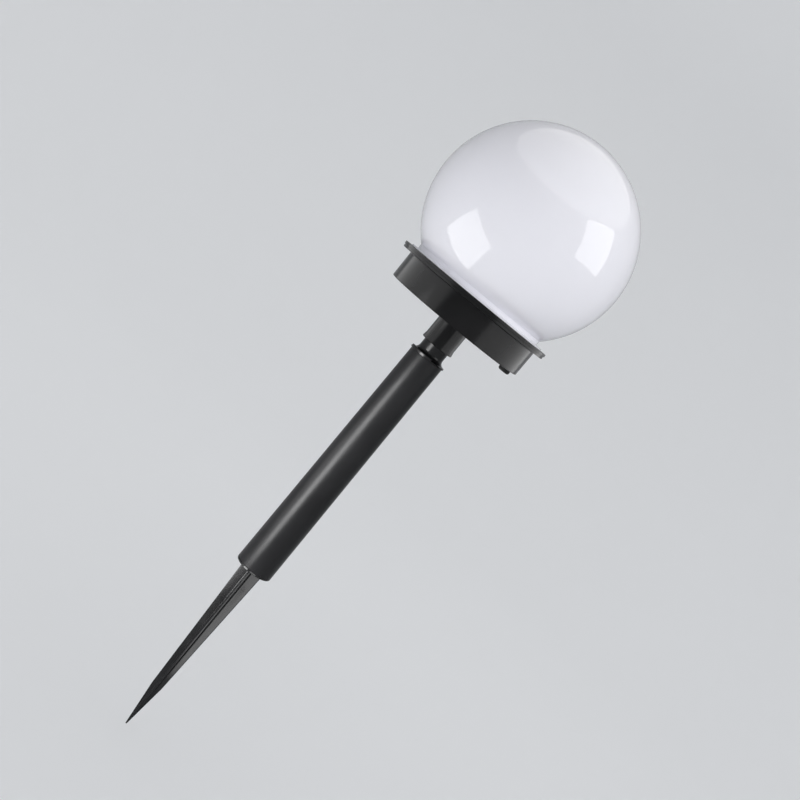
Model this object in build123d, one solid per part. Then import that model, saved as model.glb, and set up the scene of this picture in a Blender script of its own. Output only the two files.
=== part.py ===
from build123d import *
import os
from math import acos, atan2, cos, degrees, hypot, pi, sin, sqrt

# Garden globe light on a ground spike, in millimetres, +Z up.
# The origin lies on the lamp's axis at ground level, which is the underside of the spike's collar.
# The front of the lamp faces -Y. Directions round the axis are in degrees, counted from +X.

# ---- Clearances between pieces --------------------------------------------------------------
running_gap = 0.1       # radial gap of the round fits that turn or pull apart
loose_gap = 0.3         # gap round pieces that drop in or pass each other
seal_gap = 0.05         # gap over a seal that the globe slides on
screw_gap = 0.15        # gap round a screw's shank in its pilot hole
slide_gap = 0.4         # height left over flanges and lugs that move
overshoot = 1.0         # how far cutting tools pass beyond what they cut
root_overlap = 0.5      # how far added bodies reach into what they stand on

# ---- Globe ----------------------------------------------------------------------------------
globe_radius = 75.0
globe_wall = 1.6
neck_wall = 2.4         # the neck is blown thicker than the ball
neck_height = 3.3       # straight part between the lip and the ball
lip_reach = 4.4         # how far the lip stands out from the neck
lip_thickness = 1.0
skirt_wall = 1.6        # ring below the lip that drops into the cover
lug_reach = 2.0
lug_height = 1.6
neck_step = 2.9         # how far the neck's bore stands outside the skirt's
neck_shoulder = 1.0     # rise of the sloping shoulder between the two bores
lug_width = 14.0        # degrees
lug_count = 3
twist_travel = 50.0     # degrees from locked to open
locked_direction = -125.0
pointer_length = 2.4    # raised mark on the lip that shows the globe's position
pointer_width = 1.6
pointer_height = 0.4

# ---- Solar panel and lamps ------------------------------------------------------------------
panel_side = 55.0
panel_board_thickness = 1.0
cell_thickness = 0.3
cell_count = 6
cell_gap = 0.6
cell_margin = 2.4       # bare edge of the panel round its cells
panel_gap = 0.2         # round the panel in its pocket
panel_recess = 0.1      # how far the panel lies below the deck
resin_thickness = 1.2
led_radius = 2.5
led_height = 8.5
led_flange = 0.4
led_flange_height = 1.0
resin_edge_round = 0.4
led_board_thickness = 1.0
led_board_width = 10.5  # radial width of the ring
led_board_inset = 2.4   # from the deck's wall to the ring
board_gap = 0.3         # between the battery bay and the ring
solder_gap = 1.0        # over the ring, for its joints

# ---- Top cover ------------------------------------------------------------------------------
cover_wall = 1.4
deck_thickness = 1.7
deck_drop = 0.7         # how far the deck lies below the flange's top
deck_margin = 7.6       # from the pocket's corner to the deck's edge
flange_reach = 6.9      # how far the flange stands out from the drum
flange_thickness = 2.0
ledge_thickness = 2.2   # inner edge of the flange, over the bayonet channel
channel_height = 2.4
stop_width = 3.0        # degrees
stop_gap = 0.8          # degrees between a lug and its stop
lug_notch_margin = 3.0  # degrees by which the notches are wider than the lugs
lead_slot_y = -8.0      # slot for the panel's leads
lead_slot_length = 7.0
lead_slot_width = 3.0
rim_edge_round = 0.3
lock_mark_width = 3.0
lock_mark_depth = 0.7
gasket_width = 2.0
gasket_inset = 1.0      # from the wall to the gasket's groove
gasket_thickness = 0.9

# ---- Base drum ------------------------------------------------------------------------------
drum_wall = 1.8
drum_draft = 0.5        # how much narrower the drum is at its foot
drum_floor = 2.0
rim_thickness = 2.0
rim_setback = 0.6       # the drum's rim is this much smaller than the cover's
boss_length = 19.3
boss_wall = 1.9
boss_mouth_flare = 0.5
boss_flare_length = 4.0
boss_mouth_band = 0.8
boss_root_round = 1.0
socket_roof = 1.6       # floor left above the socket
socket_headroom = 0.3   # above the adapter's spigot
edge_round = 0.6

# ---- Battery --------------------------------------------------------------------------------
cell_diameter = 14.0
cell_length = 49.2
cell_nub_radius = 2.75
cell_nub_length = 1.3
battery_offset = 24.0   # axis of the cell, behind the lamp's axis
bay_wall = 2.5
bay_roof = 1.0
contact_thickness = 0.4
contact_size = 9.0
contact_tab_height = 3.0
contact_tab_reach = 1.7 # of the tab past the bay's wall
spring_length = 5.0
spring_turns = 4
spring_base_radius = 4.2
spring_tip_radius = 2.6
spring_wire_radius = 0.35
door_thickness = 1.4
door_seal_thickness = 0.8
door_lap = 1.6          # how far the door laps the bay's opening
door_ear_radius = 4.0
door_ear_offset = 3.5   # of the ear's centre past the door's end
door_post_height = 5.0  # of the screw posts above the door's seat
door_frame_wall = 1.4   # raised frame round the door's seat, above and beside it
door_screw_recess = 0.7
grip_length = 12.0      # finger grooves in the door
grip_width = 1.2
grip_depth = 0.5
grip_pitch = 2.4

# ---- Screws ---------------------------------------------------------------------------------
housing_screw_radius = 1.45
housing_screw_head_radius = 2.7
housing_screw_head_height = 1.8
housing_screw_length = 13.5
housing_screw_offset = 15.0
housing_post_radius = 3.5
housing_post_height = 11.0
counterbore_depth = 5.0
cover_post_radius = 3.0
gusset_thickness = 1.2
gusset_height = 4.0
small_screw_radius = 0.9
small_screw_head_radius = 1.7
small_screw_head_height = 1.1
small_screw_length = 4.4
small_boss_radius = 2.3
led_board_screw_offset = 16.0

# ---- Switch ---------------------------------------------------------------------------------
button_radius = 4.4
button_reach = 3.7      # below the drum
button_travel = 1.5
button_flange = 0.7
button_flange_thickness = 1.0
button_round = 1.6
plunger_radius = 1.8
plunger_length = 9.0
plunger_set_in = 0.5    # how far the plunger's foot lies above the drum's foot
switch_length = 9.0
switch_height = 7.0
switch_ear_reach = 2.7
switch_ear_thickness = 1.2
switch_screw_radius = 0.6
switch_screw_head_radius = 1.2
switch_inset = 2.0      # from the drum's wall to the switch

# ---- Control board --------------------------------------------------------------------------
control_board_length = 34.0
control_board_width = 16.0
control_board_thickness = 1.2
control_board_offset = 28.0
control_post_height = 3.5
control_screw_inset = 2.6
chip_length = 5.0
chip_width = 4.0
chip_height = 1.6
chip_x = -6.0
chip_legs = 4           # on each side
coil_radius = 3.5
coil_height = 4.2
coil_x = 2.0
coil_flange_height = 0.9
coil_waist = 0.7
capacitor_radius = 2.5
capacitor_height = 6.5
capacitor_x = 9.2
capacitor_round = 0.5
lead_radius = 0.6
lead_bend = 4.0         # radius of the wires' wide bends
lead_tight_bend = 1.5
lead_row_inset = 1.5    # from the board's long edges to the wires' pads

# ---- Pole -----------------------------------------------------------------------------------
tube_length = 188.5
tube_foot_radius = 14.0
tube_top_radius = 13.1
tube_wall = 1.5
tube_edge_round = 0.3
adapter_collar_thickness = 1.2
adapter_collar_reach = 0.9
adapter_tab_height = 1.1
adapter_tab_start = -73.0
adapter_tab_width = 90.0
adapter_flare = 3.9
adapter_neck_radius = 9.9
adapter_neck_length = 9.4
adapter_wall = 1.9
plug_length = 22.0
plug_chamfer = 1.0

# ---- Ground spike ---------------------------------------------------------------------------
spike_collar_thickness = 1.6
spike_length = 143.6
spike_point_length = 35.0
spike_top_radius = 8.25
spike_bend_radius = 4.15
spike_flare = 1.15
spike_flare_length = 4.5
blade_thickness = 1.75
blade_edge_round = 0.5
blade_root_round = 1.2
ejector_mark_radius = 1.5   # round mark that moulding leaves on one blade
ejector_mark_depth = 0.2
ejector_mark_offset = 3.8   # from the lamp's axis
ejector_mark_drop = 16.0    # below the collar
tip_radius = 0.5
tenon_length = 24.0
tenon_wall = 1.6
tenon_chamfer = 0.8
web_setback = 2.0       # of the tenon's inner cross below the tenon's top

# ---- Heights, worked out from the ground up -------------------------------------------------
tube_foot_z = spike_collar_thickness
tube_top_z = tube_foot_z + tube_length
adapter_collar_top_z = tube_top_z + adapter_collar_thickness
boss_mouth_z = adapter_collar_top_z + adapter_neck_length
drum_foot_z = boss_mouth_z + boss_length
drum_floor_z = drum_foot_z + drum_floor
socket_top_z = drum_floor_z - drum_floor - socket_roof
spigot_top_z = socket_top_z - socket_headroom
door_inner_z = drum_foot_z + door_thickness
door_ledge_z = door_inner_z + door_seal_thickness
battery_axis_z = door_inner_z + loose_gap + cell_diameter / 2
bay_ceiling_z = battery_axis_z + cell_diameter / 2 + loose_gap
bay_roof_z = bay_ceiling_z + bay_roof
led_board_z = bay_roof_z + board_gap
led_board_top_z = led_board_z + led_board_thickness
pocket_foot_z = led_board_top_z + solder_gap
pocket_floor_z = pocket_foot_z + cover_wall
panel_top_z = pocket_floor_z + panel_board_thickness + resin_thickness
deck_top_z = panel_top_z + panel_recess
deck_foot_z = deck_top_z - deck_thickness
flange_top_z = deck_top_z + deck_drop
flange_foot_z = flange_top_z - flange_thickness
rim_foot_z = flange_foot_z - rim_thickness
ledge_foot_z = flange_top_z - ledge_thickness
channel_floor_z = ledge_foot_z - channel_height
channel_foot_z = channel_floor_z - cover_wall
housing_joint_z = drum_foot_z + housing_post_height
screw_seat_z = drum_foot_z + counterbore_depth
lip_top_z = flange_top_z + lip_thickness
neck_top_z = lip_top_z + neck_height
skirt_foot_z = channel_floor_z + slide_gap
cap_flange_foot_z = drum_floor_z + seal_gap
cap_flange_top_z = cap_flange_foot_z + button_flange_thickness
plunger_foot_z = drum_foot_z + plunger_set_in
plunger_top_z = plunger_foot_z + plunger_length

# ---- Radii and half widths, worked out from the axis outwards ---------------------------------
pocket_half = panel_side / 2 + panel_gap
pocket_outer_half = pocket_half + cover_wall
deck_radius = hypot(pocket_half, pocket_half) + deck_margin
deck_inner_radius = deck_radius - cover_wall
led_circle = (pocket_outer_half + deck_inner_radius) / 2
skirt_inner_radius = deck_radius + loose_gap + running_gap
skirt_radius = skirt_inner_radius + skirt_wall
ledge_inner_radius = skirt_radius + loose_gap + running_gap
channel_radius = skirt_radius + lug_reach + loose_gap + running_gap
cover_spigot_radius = channel_radius + cover_wall
neck_inner_radius = skirt_inner_radius + neck_step
neck_radius = neck_inner_radius + neck_wall
lip_radius = neck_radius + lip_reach
globe_centre_z = neck_top_z + sqrt(globe_radius ** 2 - neck_radius ** 2)
drum_slope = drum_draft / (flange_foot_z - drum_floor_z)
drum_inner_top_radius = cover_spigot_radius + loose_gap + drum_slope * (flange_foot_z - channel_foot_z)
drum_top_radius = drum_inner_top_radius + drum_wall
drum_foot_radius = drum_top_radius - drum_draft
flange_radius = drum_top_radius + flange_reach
rim_radius = flange_radius - rim_setback
globe_gasket_radius = cover_spigot_radius + gasket_inset
housing_gasket_radius = drum_top_radius + gasket_inset
socket_radius = adapter_neck_radius + running_gap
boss_radius = socket_radius + boss_wall
adapter_collar_radius = tube_top_radius + adapter_collar_reach
plug_radius = tube_top_radius - tube_wall - running_gap

# ---- Places inside the drum -------------------------------------------------------------------
bay_half_width = cell_diameter / 2 + loose_gap
bay_half_length = (cell_length + cell_nub_length + spring_length) / 2 + contact_thickness
battery_start_x = -bay_half_length + contact_thickness + spring_length
door_half_length = bay_half_length + door_lap
door_half_width = bay_half_width + door_lap
door_ear_x = door_half_length + door_ear_offset
button_hole_radius = button_radius + loose_gap
button_flange_radius = button_hole_radius + button_flange
switch_width = 2 * button_flange_radius
switch_wall_y = switch_width / 2 + loose_gap + switch_ear_reach / 2
switch_x = drum_foot_radius - drum_wall - switch_inset - switch_length / 2
switch_foot_z = cap_flange_top_z + button_travel + slide_gap
switch_ear_z = switch_foot_z + switch_height / 2 - switch_ear_thickness / 2
switch_ear_length = switch_length - 2
control_board_y = -control_board_offset
control_board_z = drum_floor_z + control_post_height
control_board_top_z = control_board_z + control_board_thickness
control_screw_x = control_board_length / 2 - control_screw_inset
lug_directions = [locked_direction + 360 / lug_count * n for n in range(lug_count)]
housing_screw_places = [(x * led_circle, y * housing_screw_offset) for x in (1, -1) for y in (1, -1)]
led_screw_places = [(x * led_board_screw_offset, y * led_circle) for x in (1, -1) for y in (1, -1)]
led_places = [(led_circle, 0), (0, led_circle), (-led_circle, 0), (0, -led_circle)]
control_screw_places = [(control_screw_x, control_board_y), (-control_screw_x, control_board_y)]
door_screw_places = [(door_ear_x, battery_offset), (-door_ear_x, battery_offset)]
switch_screw_places = [(switch_x, switch_wall_y), (switch_x, -switch_wall_y)]


# ---- Shapes used by several pieces ------------------------------------------------------------
def turned(*runs):
    """Solid turned about the lamp's axis from an outline of (radius, height) lines and arcs."""
    return revolve(Plane.XZ * make_face(Curve() + list(runs)), axis=Axis.Z)


def ring(inner, outer, bottom, top):
    """Flat ring about the lamp's axis."""
    return turned(Polyline((inner, bottom), (outer, bottom), (outer, top), (inner, top), close=True))


def ring_sector(inner, outer, bottom, top, middle, width):
    """Part of a flat ring, `width` degrees wide, centred on the direction `middle`."""
    section = Pos((inner + outer) / 2, (bottom + top) / 2) * Rectangle(outer - inner, top - bottom)
    return Rot(0, 0, middle - width / 2) * revolve(Plane.XZ * section, axis=Axis.Z, revolution_arc=width)


def post(x, y, bottom, top, radius):
    """Upright round bar, also used as the tool of a round hole."""
    return Pos(x, y, (bottom + top) / 2) * Cylinder(radius, top - bottom)


def block(x, y, bottom, top, length, width):
    """Upright block centred on (x, y)."""
    return Pos(x, y, (bottom + top) / 2) * Box(length, width, top - bottom)


def screw(x, y, seat, length, radius, head_radius, head_height, up=True):
    """Pan-head screw with a cross slot. Its head bears on `seat` and its shank points up or down."""
    shank = post(0, 0, 0, length, radius)
    head = post(0, 0, -head_height, 0, head_radius)
    rim = head.edges().group_by(Axis.Z)[0]
    head = fillet(rim, head_height * 0.45)
    slot_width = head_radius * 0.3
    slot_length = head_radius * 1.2
    slot_depth = head_height * 0.8
    slot = Box(slot_length, slot_width, slot_depth) + Box(slot_width, slot_length, slot_depth)
    body = shank + head - Pos(0, 0, -head_height) * slot
    return Pos(x, y, seat) * (body if up else Rot(180, 0, 0) * body)


def lead(*points, bend=lead_bend):
    """Insulated wire along a route of straight runs and tangent arcs."""
    path = FilletPolyline(*points, radius=bend)
    section = Plane(origin=path @ 0, z_dir=path % 0) * Circle(lead_radius)
    return sweep(section, path=path)


def circles_at(shape, radius, height):
    """The round edges of one radius at one height."""
    near = 0.01
    circles = shape.edges().filter_by(GeomType.CIRCLE)
    return circles.filter_by(lambda e: abs(e.radius - radius) < near and abs(e.center().Z - height) < near)


# ---- Globe ------------------------------------------------------------------------------------
def globe_shade():
    """Blown ball with its neck, lip and bayonet skirt, as one wall."""
    inner_ball = globe_radius - globe_wall
    outer_low = -degrees(acos(neck_radius / globe_radius))
    inner_low = -degrees(acos(neck_inner_radius / inner_ball))
    centre = (0, globe_centre_z)
    outside = CenterArc(centre, globe_radius, 90, outer_low - 90)
    inside = CenterArc(centre, inner_ball, inner_low, 90 - inner_low)
    skin = turned(
        outside,
        Polyline(
            outside @ 1,
            (neck_radius, lip_top_z),
            (lip_radius, lip_top_z),
            (lip_radius, flange_top_z),
            (skirt_radius, flange_top_z),
            (skirt_radius, skirt_foot_z),
            (skirt_inner_radius, skirt_foot_z),
            (skirt_inner_radius, lip_top_z),
            (neck_inner_radius, lip_top_z + neck_shoulder),
            inside @ 0,
        ),
        inside,
        Line(inside @ 1, outside @ 0),
    )
    for direction in lug_directions:
        skin += ring_sector(
            skirt_radius - root_overlap, skirt_radius + lug_reach, skirt_foot_z, skirt_foot_z + lug_height,
            direction, lug_width,
        )
    pointer = block(
        neck_radius + lip_reach / 2, 0, lip_top_z - pointer_height, lip_top_z + pointer_height,
        pointer_length, pointer_width,
    )
    return skin + Rot(0, 0, locked_direction) * pointer


def globe_gasket():
    """Flat ring in the flange's groove, under the globe's lip."""
    outer = globe_gasket_radius + gasket_width
    return ring(globe_gasket_radius, outer, flange_top_z - gasket_thickness, flange_top_z - seal_gap)


# ---- Cover with the solar panel -----------------------------------------------------------------
def top_cover():
    """Flange, bayonet channel and deck, with the panel's pocket and the screw bosses under it."""
    cover = turned(Polyline(
        (0, deck_top_z),
        (deck_radius, deck_top_z),
        (deck_radius, channel_floor_z),
        (channel_radius, channel_floor_z),
        (channel_radius, ledge_foot_z),
        (ledge_inner_radius, ledge_foot_z),
        (ledge_inner_radius, flange_top_z),
        (flange_radius, flange_top_z),
        (flange_radius, flange_foot_z),
        (cover_spigot_radius, flange_foot_z),
        (cover_spigot_radius, channel_foot_z),
        (deck_inner_radius, channel_foot_z),
        (deck_inner_radius, deck_foot_z),
        (0, deck_foot_z),
        close=True,
    ))
    for height in (flange_top_z, flange_foot_z):
        cover = fillet(circles_at(cover, flange_radius, height), rim_edge_round)
    cover += block(0, 0, pocket_foot_z, deck_foot_z, 2 * pocket_outer_half, 2 * pocket_outer_half)
    cover -= block(0, 0, pocket_floor_z, deck_top_z + overshoot, 2 * pocket_half, 2 * pocket_half)
    for direction in lug_directions:
        stop_swing = lug_width / 2 + stop_gap + stop_width / 2
        for middle in (direction - stop_swing, direction + twist_travel + stop_swing):
            cover += ring_sector(
                ledge_inner_radius, channel_radius + root_overlap, channel_floor_z, ledge_foot_z,
                middle, stop_width,
            )
        cover -= ring_sector(
            ledge_inner_radius - overshoot, channel_radius, ledge_foot_z, flange_top_z + overshoot,
            direction + twist_travel, lug_width + lug_notch_margin,
        )
    cover -= ring(
        globe_gasket_radius, globe_gasket_radius + gasket_width,
        flange_top_z - gasket_thickness, flange_top_z + overshoot,
    )
    for direction in (locked_direction, locked_direction + twist_travel):
        notch = Box(2 * lock_mark_depth, lock_mark_width, 2 * lock_mark_depth)
        cover -= Rot(0, 0, direction) * Pos(flange_radius, 0, flange_top_z) * notch
    for x, y in led_places:
        cover -= post(x, y, deck_foot_z - overshoot, deck_top_z + overshoot, led_radius + loose_gap)
    for x, y in housing_screw_places:
        cover += post(x, y, housing_joint_z, deck_foot_z, cover_post_radius)
        pilot_top = screw_seat_z + housing_screw_length + loose_gap
        cover -= post(x, y, housing_joint_z - overshoot, pilot_top, housing_screw_radius + screw_gap)
    for x, y in led_screw_places:
        cover += post(x, y, led_board_top_z, deck_foot_z, small_boss_radius)
        pilot_top = led_board_z + small_screw_length + loose_gap
        cover -= post(x, y, led_board_top_z - overshoot, pilot_top, small_screw_radius + screw_gap)
    return cover - block(
        0, lead_slot_y, pocket_foot_z - overshoot, pocket_floor_z + overshoot,
        lead_slot_length, lead_slot_width,
    )


def panel_board():
    """Board that the cells are bonded to, lying in the pocket."""
    return block(0, 0, pocket_floor_z, pocket_floor_z + panel_board_thickness, panel_side, panel_side)


def solar_cells():
    """Strips of silicon side by side."""
    field = panel_side - 2 * cell_margin
    pitch = (field + cell_gap) / cell_count
    bottom = pocket_floor_z + panel_board_thickness
    strips = []
    for n in range(cell_count):
        x = (n - (cell_count - 1) / 2) * pitch
        strips.append(block(x, 0, bottom, bottom + cell_thickness, pitch - cell_gap, field))
    return strips


def panel_resin():
    """Clear resin poured over the cells."""
    bottom = pocket_floor_z + panel_board_thickness
    resin = block(0, 0, bottom, bottom + resin_thickness, panel_side, panel_side)
    top_edges = resin.edges().group_by(Axis.Z)[-1]
    resin = fillet(top_edges, resin_edge_round)
    for strip in solar_cells():
        resin -= strip
    return resin


def led_board():
    """Ring board under the deck, notched round the housing bosses."""
    outer = deck_inner_radius - led_board_inset
    board = ring(outer - led_board_width, outer, led_board_z, led_board_top_z)
    for x, y in housing_screw_places:
        board -= post(x, y, led_board_z - overshoot, led_board_top_z + overshoot, housing_post_radius)
    for x, y in led_screw_places:
        hole_radius = small_screw_radius + screw_gap
        board -= post(x, y, led_board_z - overshoot, led_board_top_z + overshoot, hole_radius)
    return board


def led_lamps():
    """Four round-headed lamps that stand on the ring board and pass through the deck."""
    barrel = led_height - led_radius
    foot_radius = led_radius + led_flange
    lamp = turned(
        Polyline(
            (0, 0),
            (foot_radius, 0),
            (foot_radius, led_flange_height),
            (led_radius, led_flange_height),
            (led_radius, barrel),
        ),
        CenterArc((0, barrel), led_radius, 0, 90),
        Line((0, led_height), (0, 0)),
    )
    return [Pos(x, y, led_board_top_z) * lamp for x, y in led_places]


def led_board_screws():
    return [
        screw(x, y, led_board_z, small_screw_length, small_screw_radius, small_screw_head_radius,
              small_screw_head_height)
        for x, y in led_screw_places
    ]


# ---- Base drum ----------------------------------------------------------------------------------
def drum_shell():
    """Drafted drum with its rim above and the pole's socket boss below."""
    inner_foot_radius = drum_foot_radius - drum_wall
    shell = turned(Polyline(
        (0, socket_top_z),
        (socket_radius, socket_top_z),
        (socket_radius, boss_mouth_z),
        (boss_radius + boss_mouth_flare, boss_mouth_z),
        (boss_radius + boss_mouth_flare, boss_mouth_z + boss_mouth_band),
        (boss_radius, boss_mouth_z + boss_flare_length),
        (boss_radius, drum_foot_z),
        (drum_foot_radius, drum_foot_z),
        (drum_top_radius, rim_foot_z),
        (rim_radius, rim_foot_z),
        (rim_radius, flange_foot_z),
        (drum_inner_top_radius, flange_foot_z),
        (inner_foot_radius, drum_floor_z),
        (0, drum_floor_z),
        close=True,
    ))
    shell = fillet(circles_at(shell, drum_foot_radius, drum_foot_z), edge_round)
    shell = fillet(circles_at(shell, rim_radius, rim_foot_z), rim_edge_round)
    return fillet(circles_at(shell, boss_radius, drum_foot_z), boss_root_round)


def base_drum():
    """Drum with the battery bay, the posts of cover, boards and switch, and their holes."""
    drum = drum_shell()
    root_z = drum_floor_z - root_overlap
    bay_length = 2 * (bay_half_length + bay_wall)
    bay_width = 2 * (bay_half_width + bay_wall)
    drum += block(0, battery_offset, root_z, bay_roof_z, bay_length, bay_width)
    drum += door_outline(
        root_z, door_ledge_z + door_frame_wall, door_half_length + door_frame_wall,
        door_half_width + door_frame_wall, door_ear_radius + door_frame_wall,
    )
    for x, y in door_screw_places:
        drum += post(x, y, root_z, door_ledge_z + door_post_height, small_boss_radius)
    for x, y in housing_screw_places:
        drum += post(x, y, root_z, housing_joint_z, housing_post_radius)
        drum += gusset(x, y, root_z)
    for x, y in control_screw_places:
        drum += post(x, y, root_z, control_board_z, small_boss_radius)
    for x, y in switch_screw_places:
        drum += block(x, y, root_z, switch_ear_z, switch_ear_length, switch_ear_reach)
    return drum - drum_holes()


def gusset(x, y, bottom):
    """Rib from a housing post outwards to the drum's wall."""
    start = hypot(x, y)
    end = drum_foot_radius - drum_wall / 2
    rib = block((start + end) / 2, 0, bottom, drum_floor_z + gusset_height, end - start, gusset_thickness)
    return Rot(0, 0, degrees(atan2(y, x))) * rib


def drum_holes():
    """Everything that is cut from the drum: bay, door seat, slots, screw holes and the gasket's groove."""
    y = battery_offset
    below_z = drum_foot_z - overshoot
    holes = block(0, y, below_z, bay_ceiling_z, 2 * bay_half_length, 2 * bay_half_width)
    holes += door_outline(below_z, door_ledge_z, door_half_length, door_half_width, door_ear_radius)
    pilot_radius = small_screw_radius + screw_gap
    for x, y in door_screw_places:
        pilot_top = drum_foot_z + door_screw_recess + small_screw_length + loose_gap
        holes += post(x, y, below_z, pilot_top, pilot_radius)
    slot_half = contact_tab_height / 2 + running_gap
    slot_y = battery_offset - bay_half_width - bay_wall / 2
    for side in (1, -1):
        slot_x = side * (bay_half_length - contact_thickness / 2)
        holes += block(
            slot_x, slot_y, battery_axis_z - slot_half, battery_axis_z + slot_half,
            contact_thickness, bay_wall + 2 * overshoot,
        )
    for x, y in housing_screw_places:
        holes += post(x, y, below_z, screw_seat_z, housing_screw_head_radius + loose_gap)
        holes += post(x, y, below_z, housing_joint_z + overshoot, housing_screw_radius + loose_gap)
    for x, y in control_screw_places:
        pilot_foot = control_board_top_z - small_screw_length - loose_gap
        holes += post(x, y, pilot_foot, control_board_z + overshoot, pilot_radius)
    for x, y in switch_screw_places:
        pilot_foot = switch_ear_z + switch_ear_thickness - small_screw_length - loose_gap
        holes += post(x, y, pilot_foot, switch_ear_z + overshoot, switch_screw_radius + screw_gap)
    holes += post(switch_x, 0, below_z, drum_floor_z + overshoot, button_hole_radius)
    return holes + ring(
        housing_gasket_radius, housing_gasket_radius + gasket_width,
        flange_foot_z - gasket_thickness, flange_foot_z + overshoot,
    )


def housing_gasket():
    """Flat ring between the drum's rim and the cover's flange."""
    return ring(housing_gasket_radius, housing_gasket_radius + gasket_width,
                flange_foot_z - gasket_thickness, flange_foot_z)


def housing_screws():
    return [
        screw(x, y, screw_seat_z, housing_screw_length, housing_screw_radius, housing_screw_head_radius,
              housing_screw_head_height)
        for x, y in housing_screw_places
    ]


# ---- Battery ------------------------------------------------------------------------------------
def door_outline(bottom, top, half_length, half_width, ear_radius):
    """Block with the door's outline: a rectangle with a round ear at each end."""
    outline = block(0, battery_offset, bottom, top, 2 * half_length, 2 * half_width)
    for side in (1, -1):
        ear_middle = side * (half_length + door_ear_x) / 2
        outline += block(ear_middle, battery_offset, bottom, top, door_ear_x - half_length, 2 * ear_radius)
        outline += post(side * door_ear_x, battery_offset, bottom, top, ear_radius)
    return outline


def battery_door():
    """Flush door with countersunk screws and three finger grooves."""
    gap = loose_gap / 2
    below_z = drum_foot_z - overshoot
    door = door_outline(
        drum_foot_z, door_inner_z, door_half_length - gap, door_half_width - gap, door_ear_radius - gap,
    )
    for x, y in door_screw_places:
        door -= post(x, y, below_z, door_inner_z + overshoot, small_screw_radius + screw_gap)
        door -= post(x, y, below_z, drum_foot_z + door_screw_recess, small_screw_head_radius + screw_gap)
    grip = block(0, battery_offset, below_z, drum_foot_z + grip_depth, grip_length, grip_width)
    for n in (-1, 0, 1):
        door -= Pos(0, n * grip_pitch, 0) * grip
    return door


def battery_door_seal():
    """Rubber frame pressed between the door and the bay's edge."""
    gap = loose_gap / 2
    below_z = door_inner_z - overshoot
    above_z = door_ledge_z + overshoot
    seal = door_outline(
        door_inner_z, door_ledge_z, door_half_length - gap, door_half_width - gap, door_ear_radius - gap,
    )
    seal -= block(0, battery_offset, below_z, above_z, 2 * bay_half_length, 2 * bay_half_width)
    for x, y in door_screw_places:
        seal -= post(x, y, below_z, above_z, small_screw_radius + screw_gap)
    return seal


def battery_door_screws():
    seat = drum_foot_z + door_screw_recess
    return [
        screw(x, y, seat, small_screw_length, small_screw_radius, small_screw_head_radius,
              door_screw_recess)
        for x, y in door_screw_places
    ]


def battery_cell():
    """Round cell lying across the drum, its nub towards +X."""
    cell = turned(Polyline(
        (0, 0),
        (cell_diameter / 2, 0),
        (cell_diameter / 2, cell_length),
        (cell_nub_radius, cell_length),
        (cell_nub_radius, cell_length + cell_nub_length),
        (0, cell_length + cell_nub_length),
        close=True,
    ))
    return Pos(battery_start_x, battery_offset, battery_axis_z) * Rot(0, 90, 0) * cell


def contact_plate(side):
    """Sprung-steel plate against the bay's end wall, with a tab through the bay's side wall."""
    x = side * (bay_half_length - contact_thickness / 2)
    plate = Pos(x, battery_offset, battery_axis_z) * Box(contact_thickness, contact_size, contact_size)
    tab_end = battery_offset - bay_half_width - bay_wall - contact_tab_reach
    tab_start = battery_offset - contact_size / 2
    tab = Box(contact_thickness, tab_start - tab_end, contact_tab_height)
    return plate + Pos(x, (tab_start + tab_end) / 2, battery_axis_z) * tab


def spring_points(turns, base_radius, tip_radius, length, steps_per_turn):
    """Points and directions along a cone-shaped coil that starts at the origin and climbs +Z."""
    count = turns * steps_per_turn
    stations = []
    for n in range(count + 1):
        turn = 2 * pi * n / steps_per_turn
        radius = base_radius + (tip_radius - base_radius) * n / count
        shrink = (tip_radius - base_radius) / (2 * pi * turns)
        rise = length / (2 * pi * turns)
        point = Vector(radius * cos(turn), radius * sin(turn), length * n / count)
        along = Vector(
            shrink * cos(turn) - radius * sin(turn), shrink * sin(turn) + radius * cos(turn), rise,
        ).normalized()
        stations.append((point, along))
    return stations


def biarc(start, start_along, end, end_along):
    """Two tangent arcs from one point and direction to another."""
    chord = end - start
    total = start_along + end_along
    a = 2 * (1 - start_along.dot(end_along))
    b = 2 * chord.dot(total)
    c = -chord.dot(chord)
    handle = (-b + sqrt(b * b - 4 * a * c)) / (2 * a)
    middle = (start + start_along * handle + end - end_along * handle) * 0.5
    first = TangentArc(start, middle, tangent=start_along)
    return [first, TangentArc(middle, end, tangent=first % 1)]


def contact_spring():
    """Negative contact: the plate and its cone-shaped coil, wound from one wire."""
    coil_length = spring_length - 2 * spring_wire_radius
    stations = spring_points(spring_turns, spring_base_radius, spring_tip_radius, coil_length, 4)
    arcs = []
    for (start, start_along), (end, end_along) in zip(stations, stations[1:]):
        arcs += biarc(start, start_along, end, end_along)
    path = Curve() + arcs
    section = Plane(origin=stations[0][0], z_dir=stations[0][1]) * Circle(spring_wire_radius)
    coil = sweep(section, path=path)
    foot_x = -bay_half_length + contact_thickness + spring_wire_radius
    return [contact_plate(-1), Pos(foot_x, battery_offset, battery_axis_z) * Rot(0, 90, 0) * coil]


# ---- Control board ------------------------------------------------------------------------------
def control_board():
    board = block(0, control_board_y, control_board_z, control_board_top_z,
                  control_board_length, control_board_width)
    for x, y in control_screw_places:
        hole_radius = small_screw_radius + screw_gap
        board -= post(x, y, control_board_z - overshoot, control_board_top_z + overshoot, hole_radius)
    return board


def control_board_screws():
    return [
        screw(x, y, control_board_top_z, small_screw_length, small_screw_radius, small_screw_head_radius,
              small_screw_head_height, up=False)
        for x, y in control_screw_places
    ]


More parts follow.
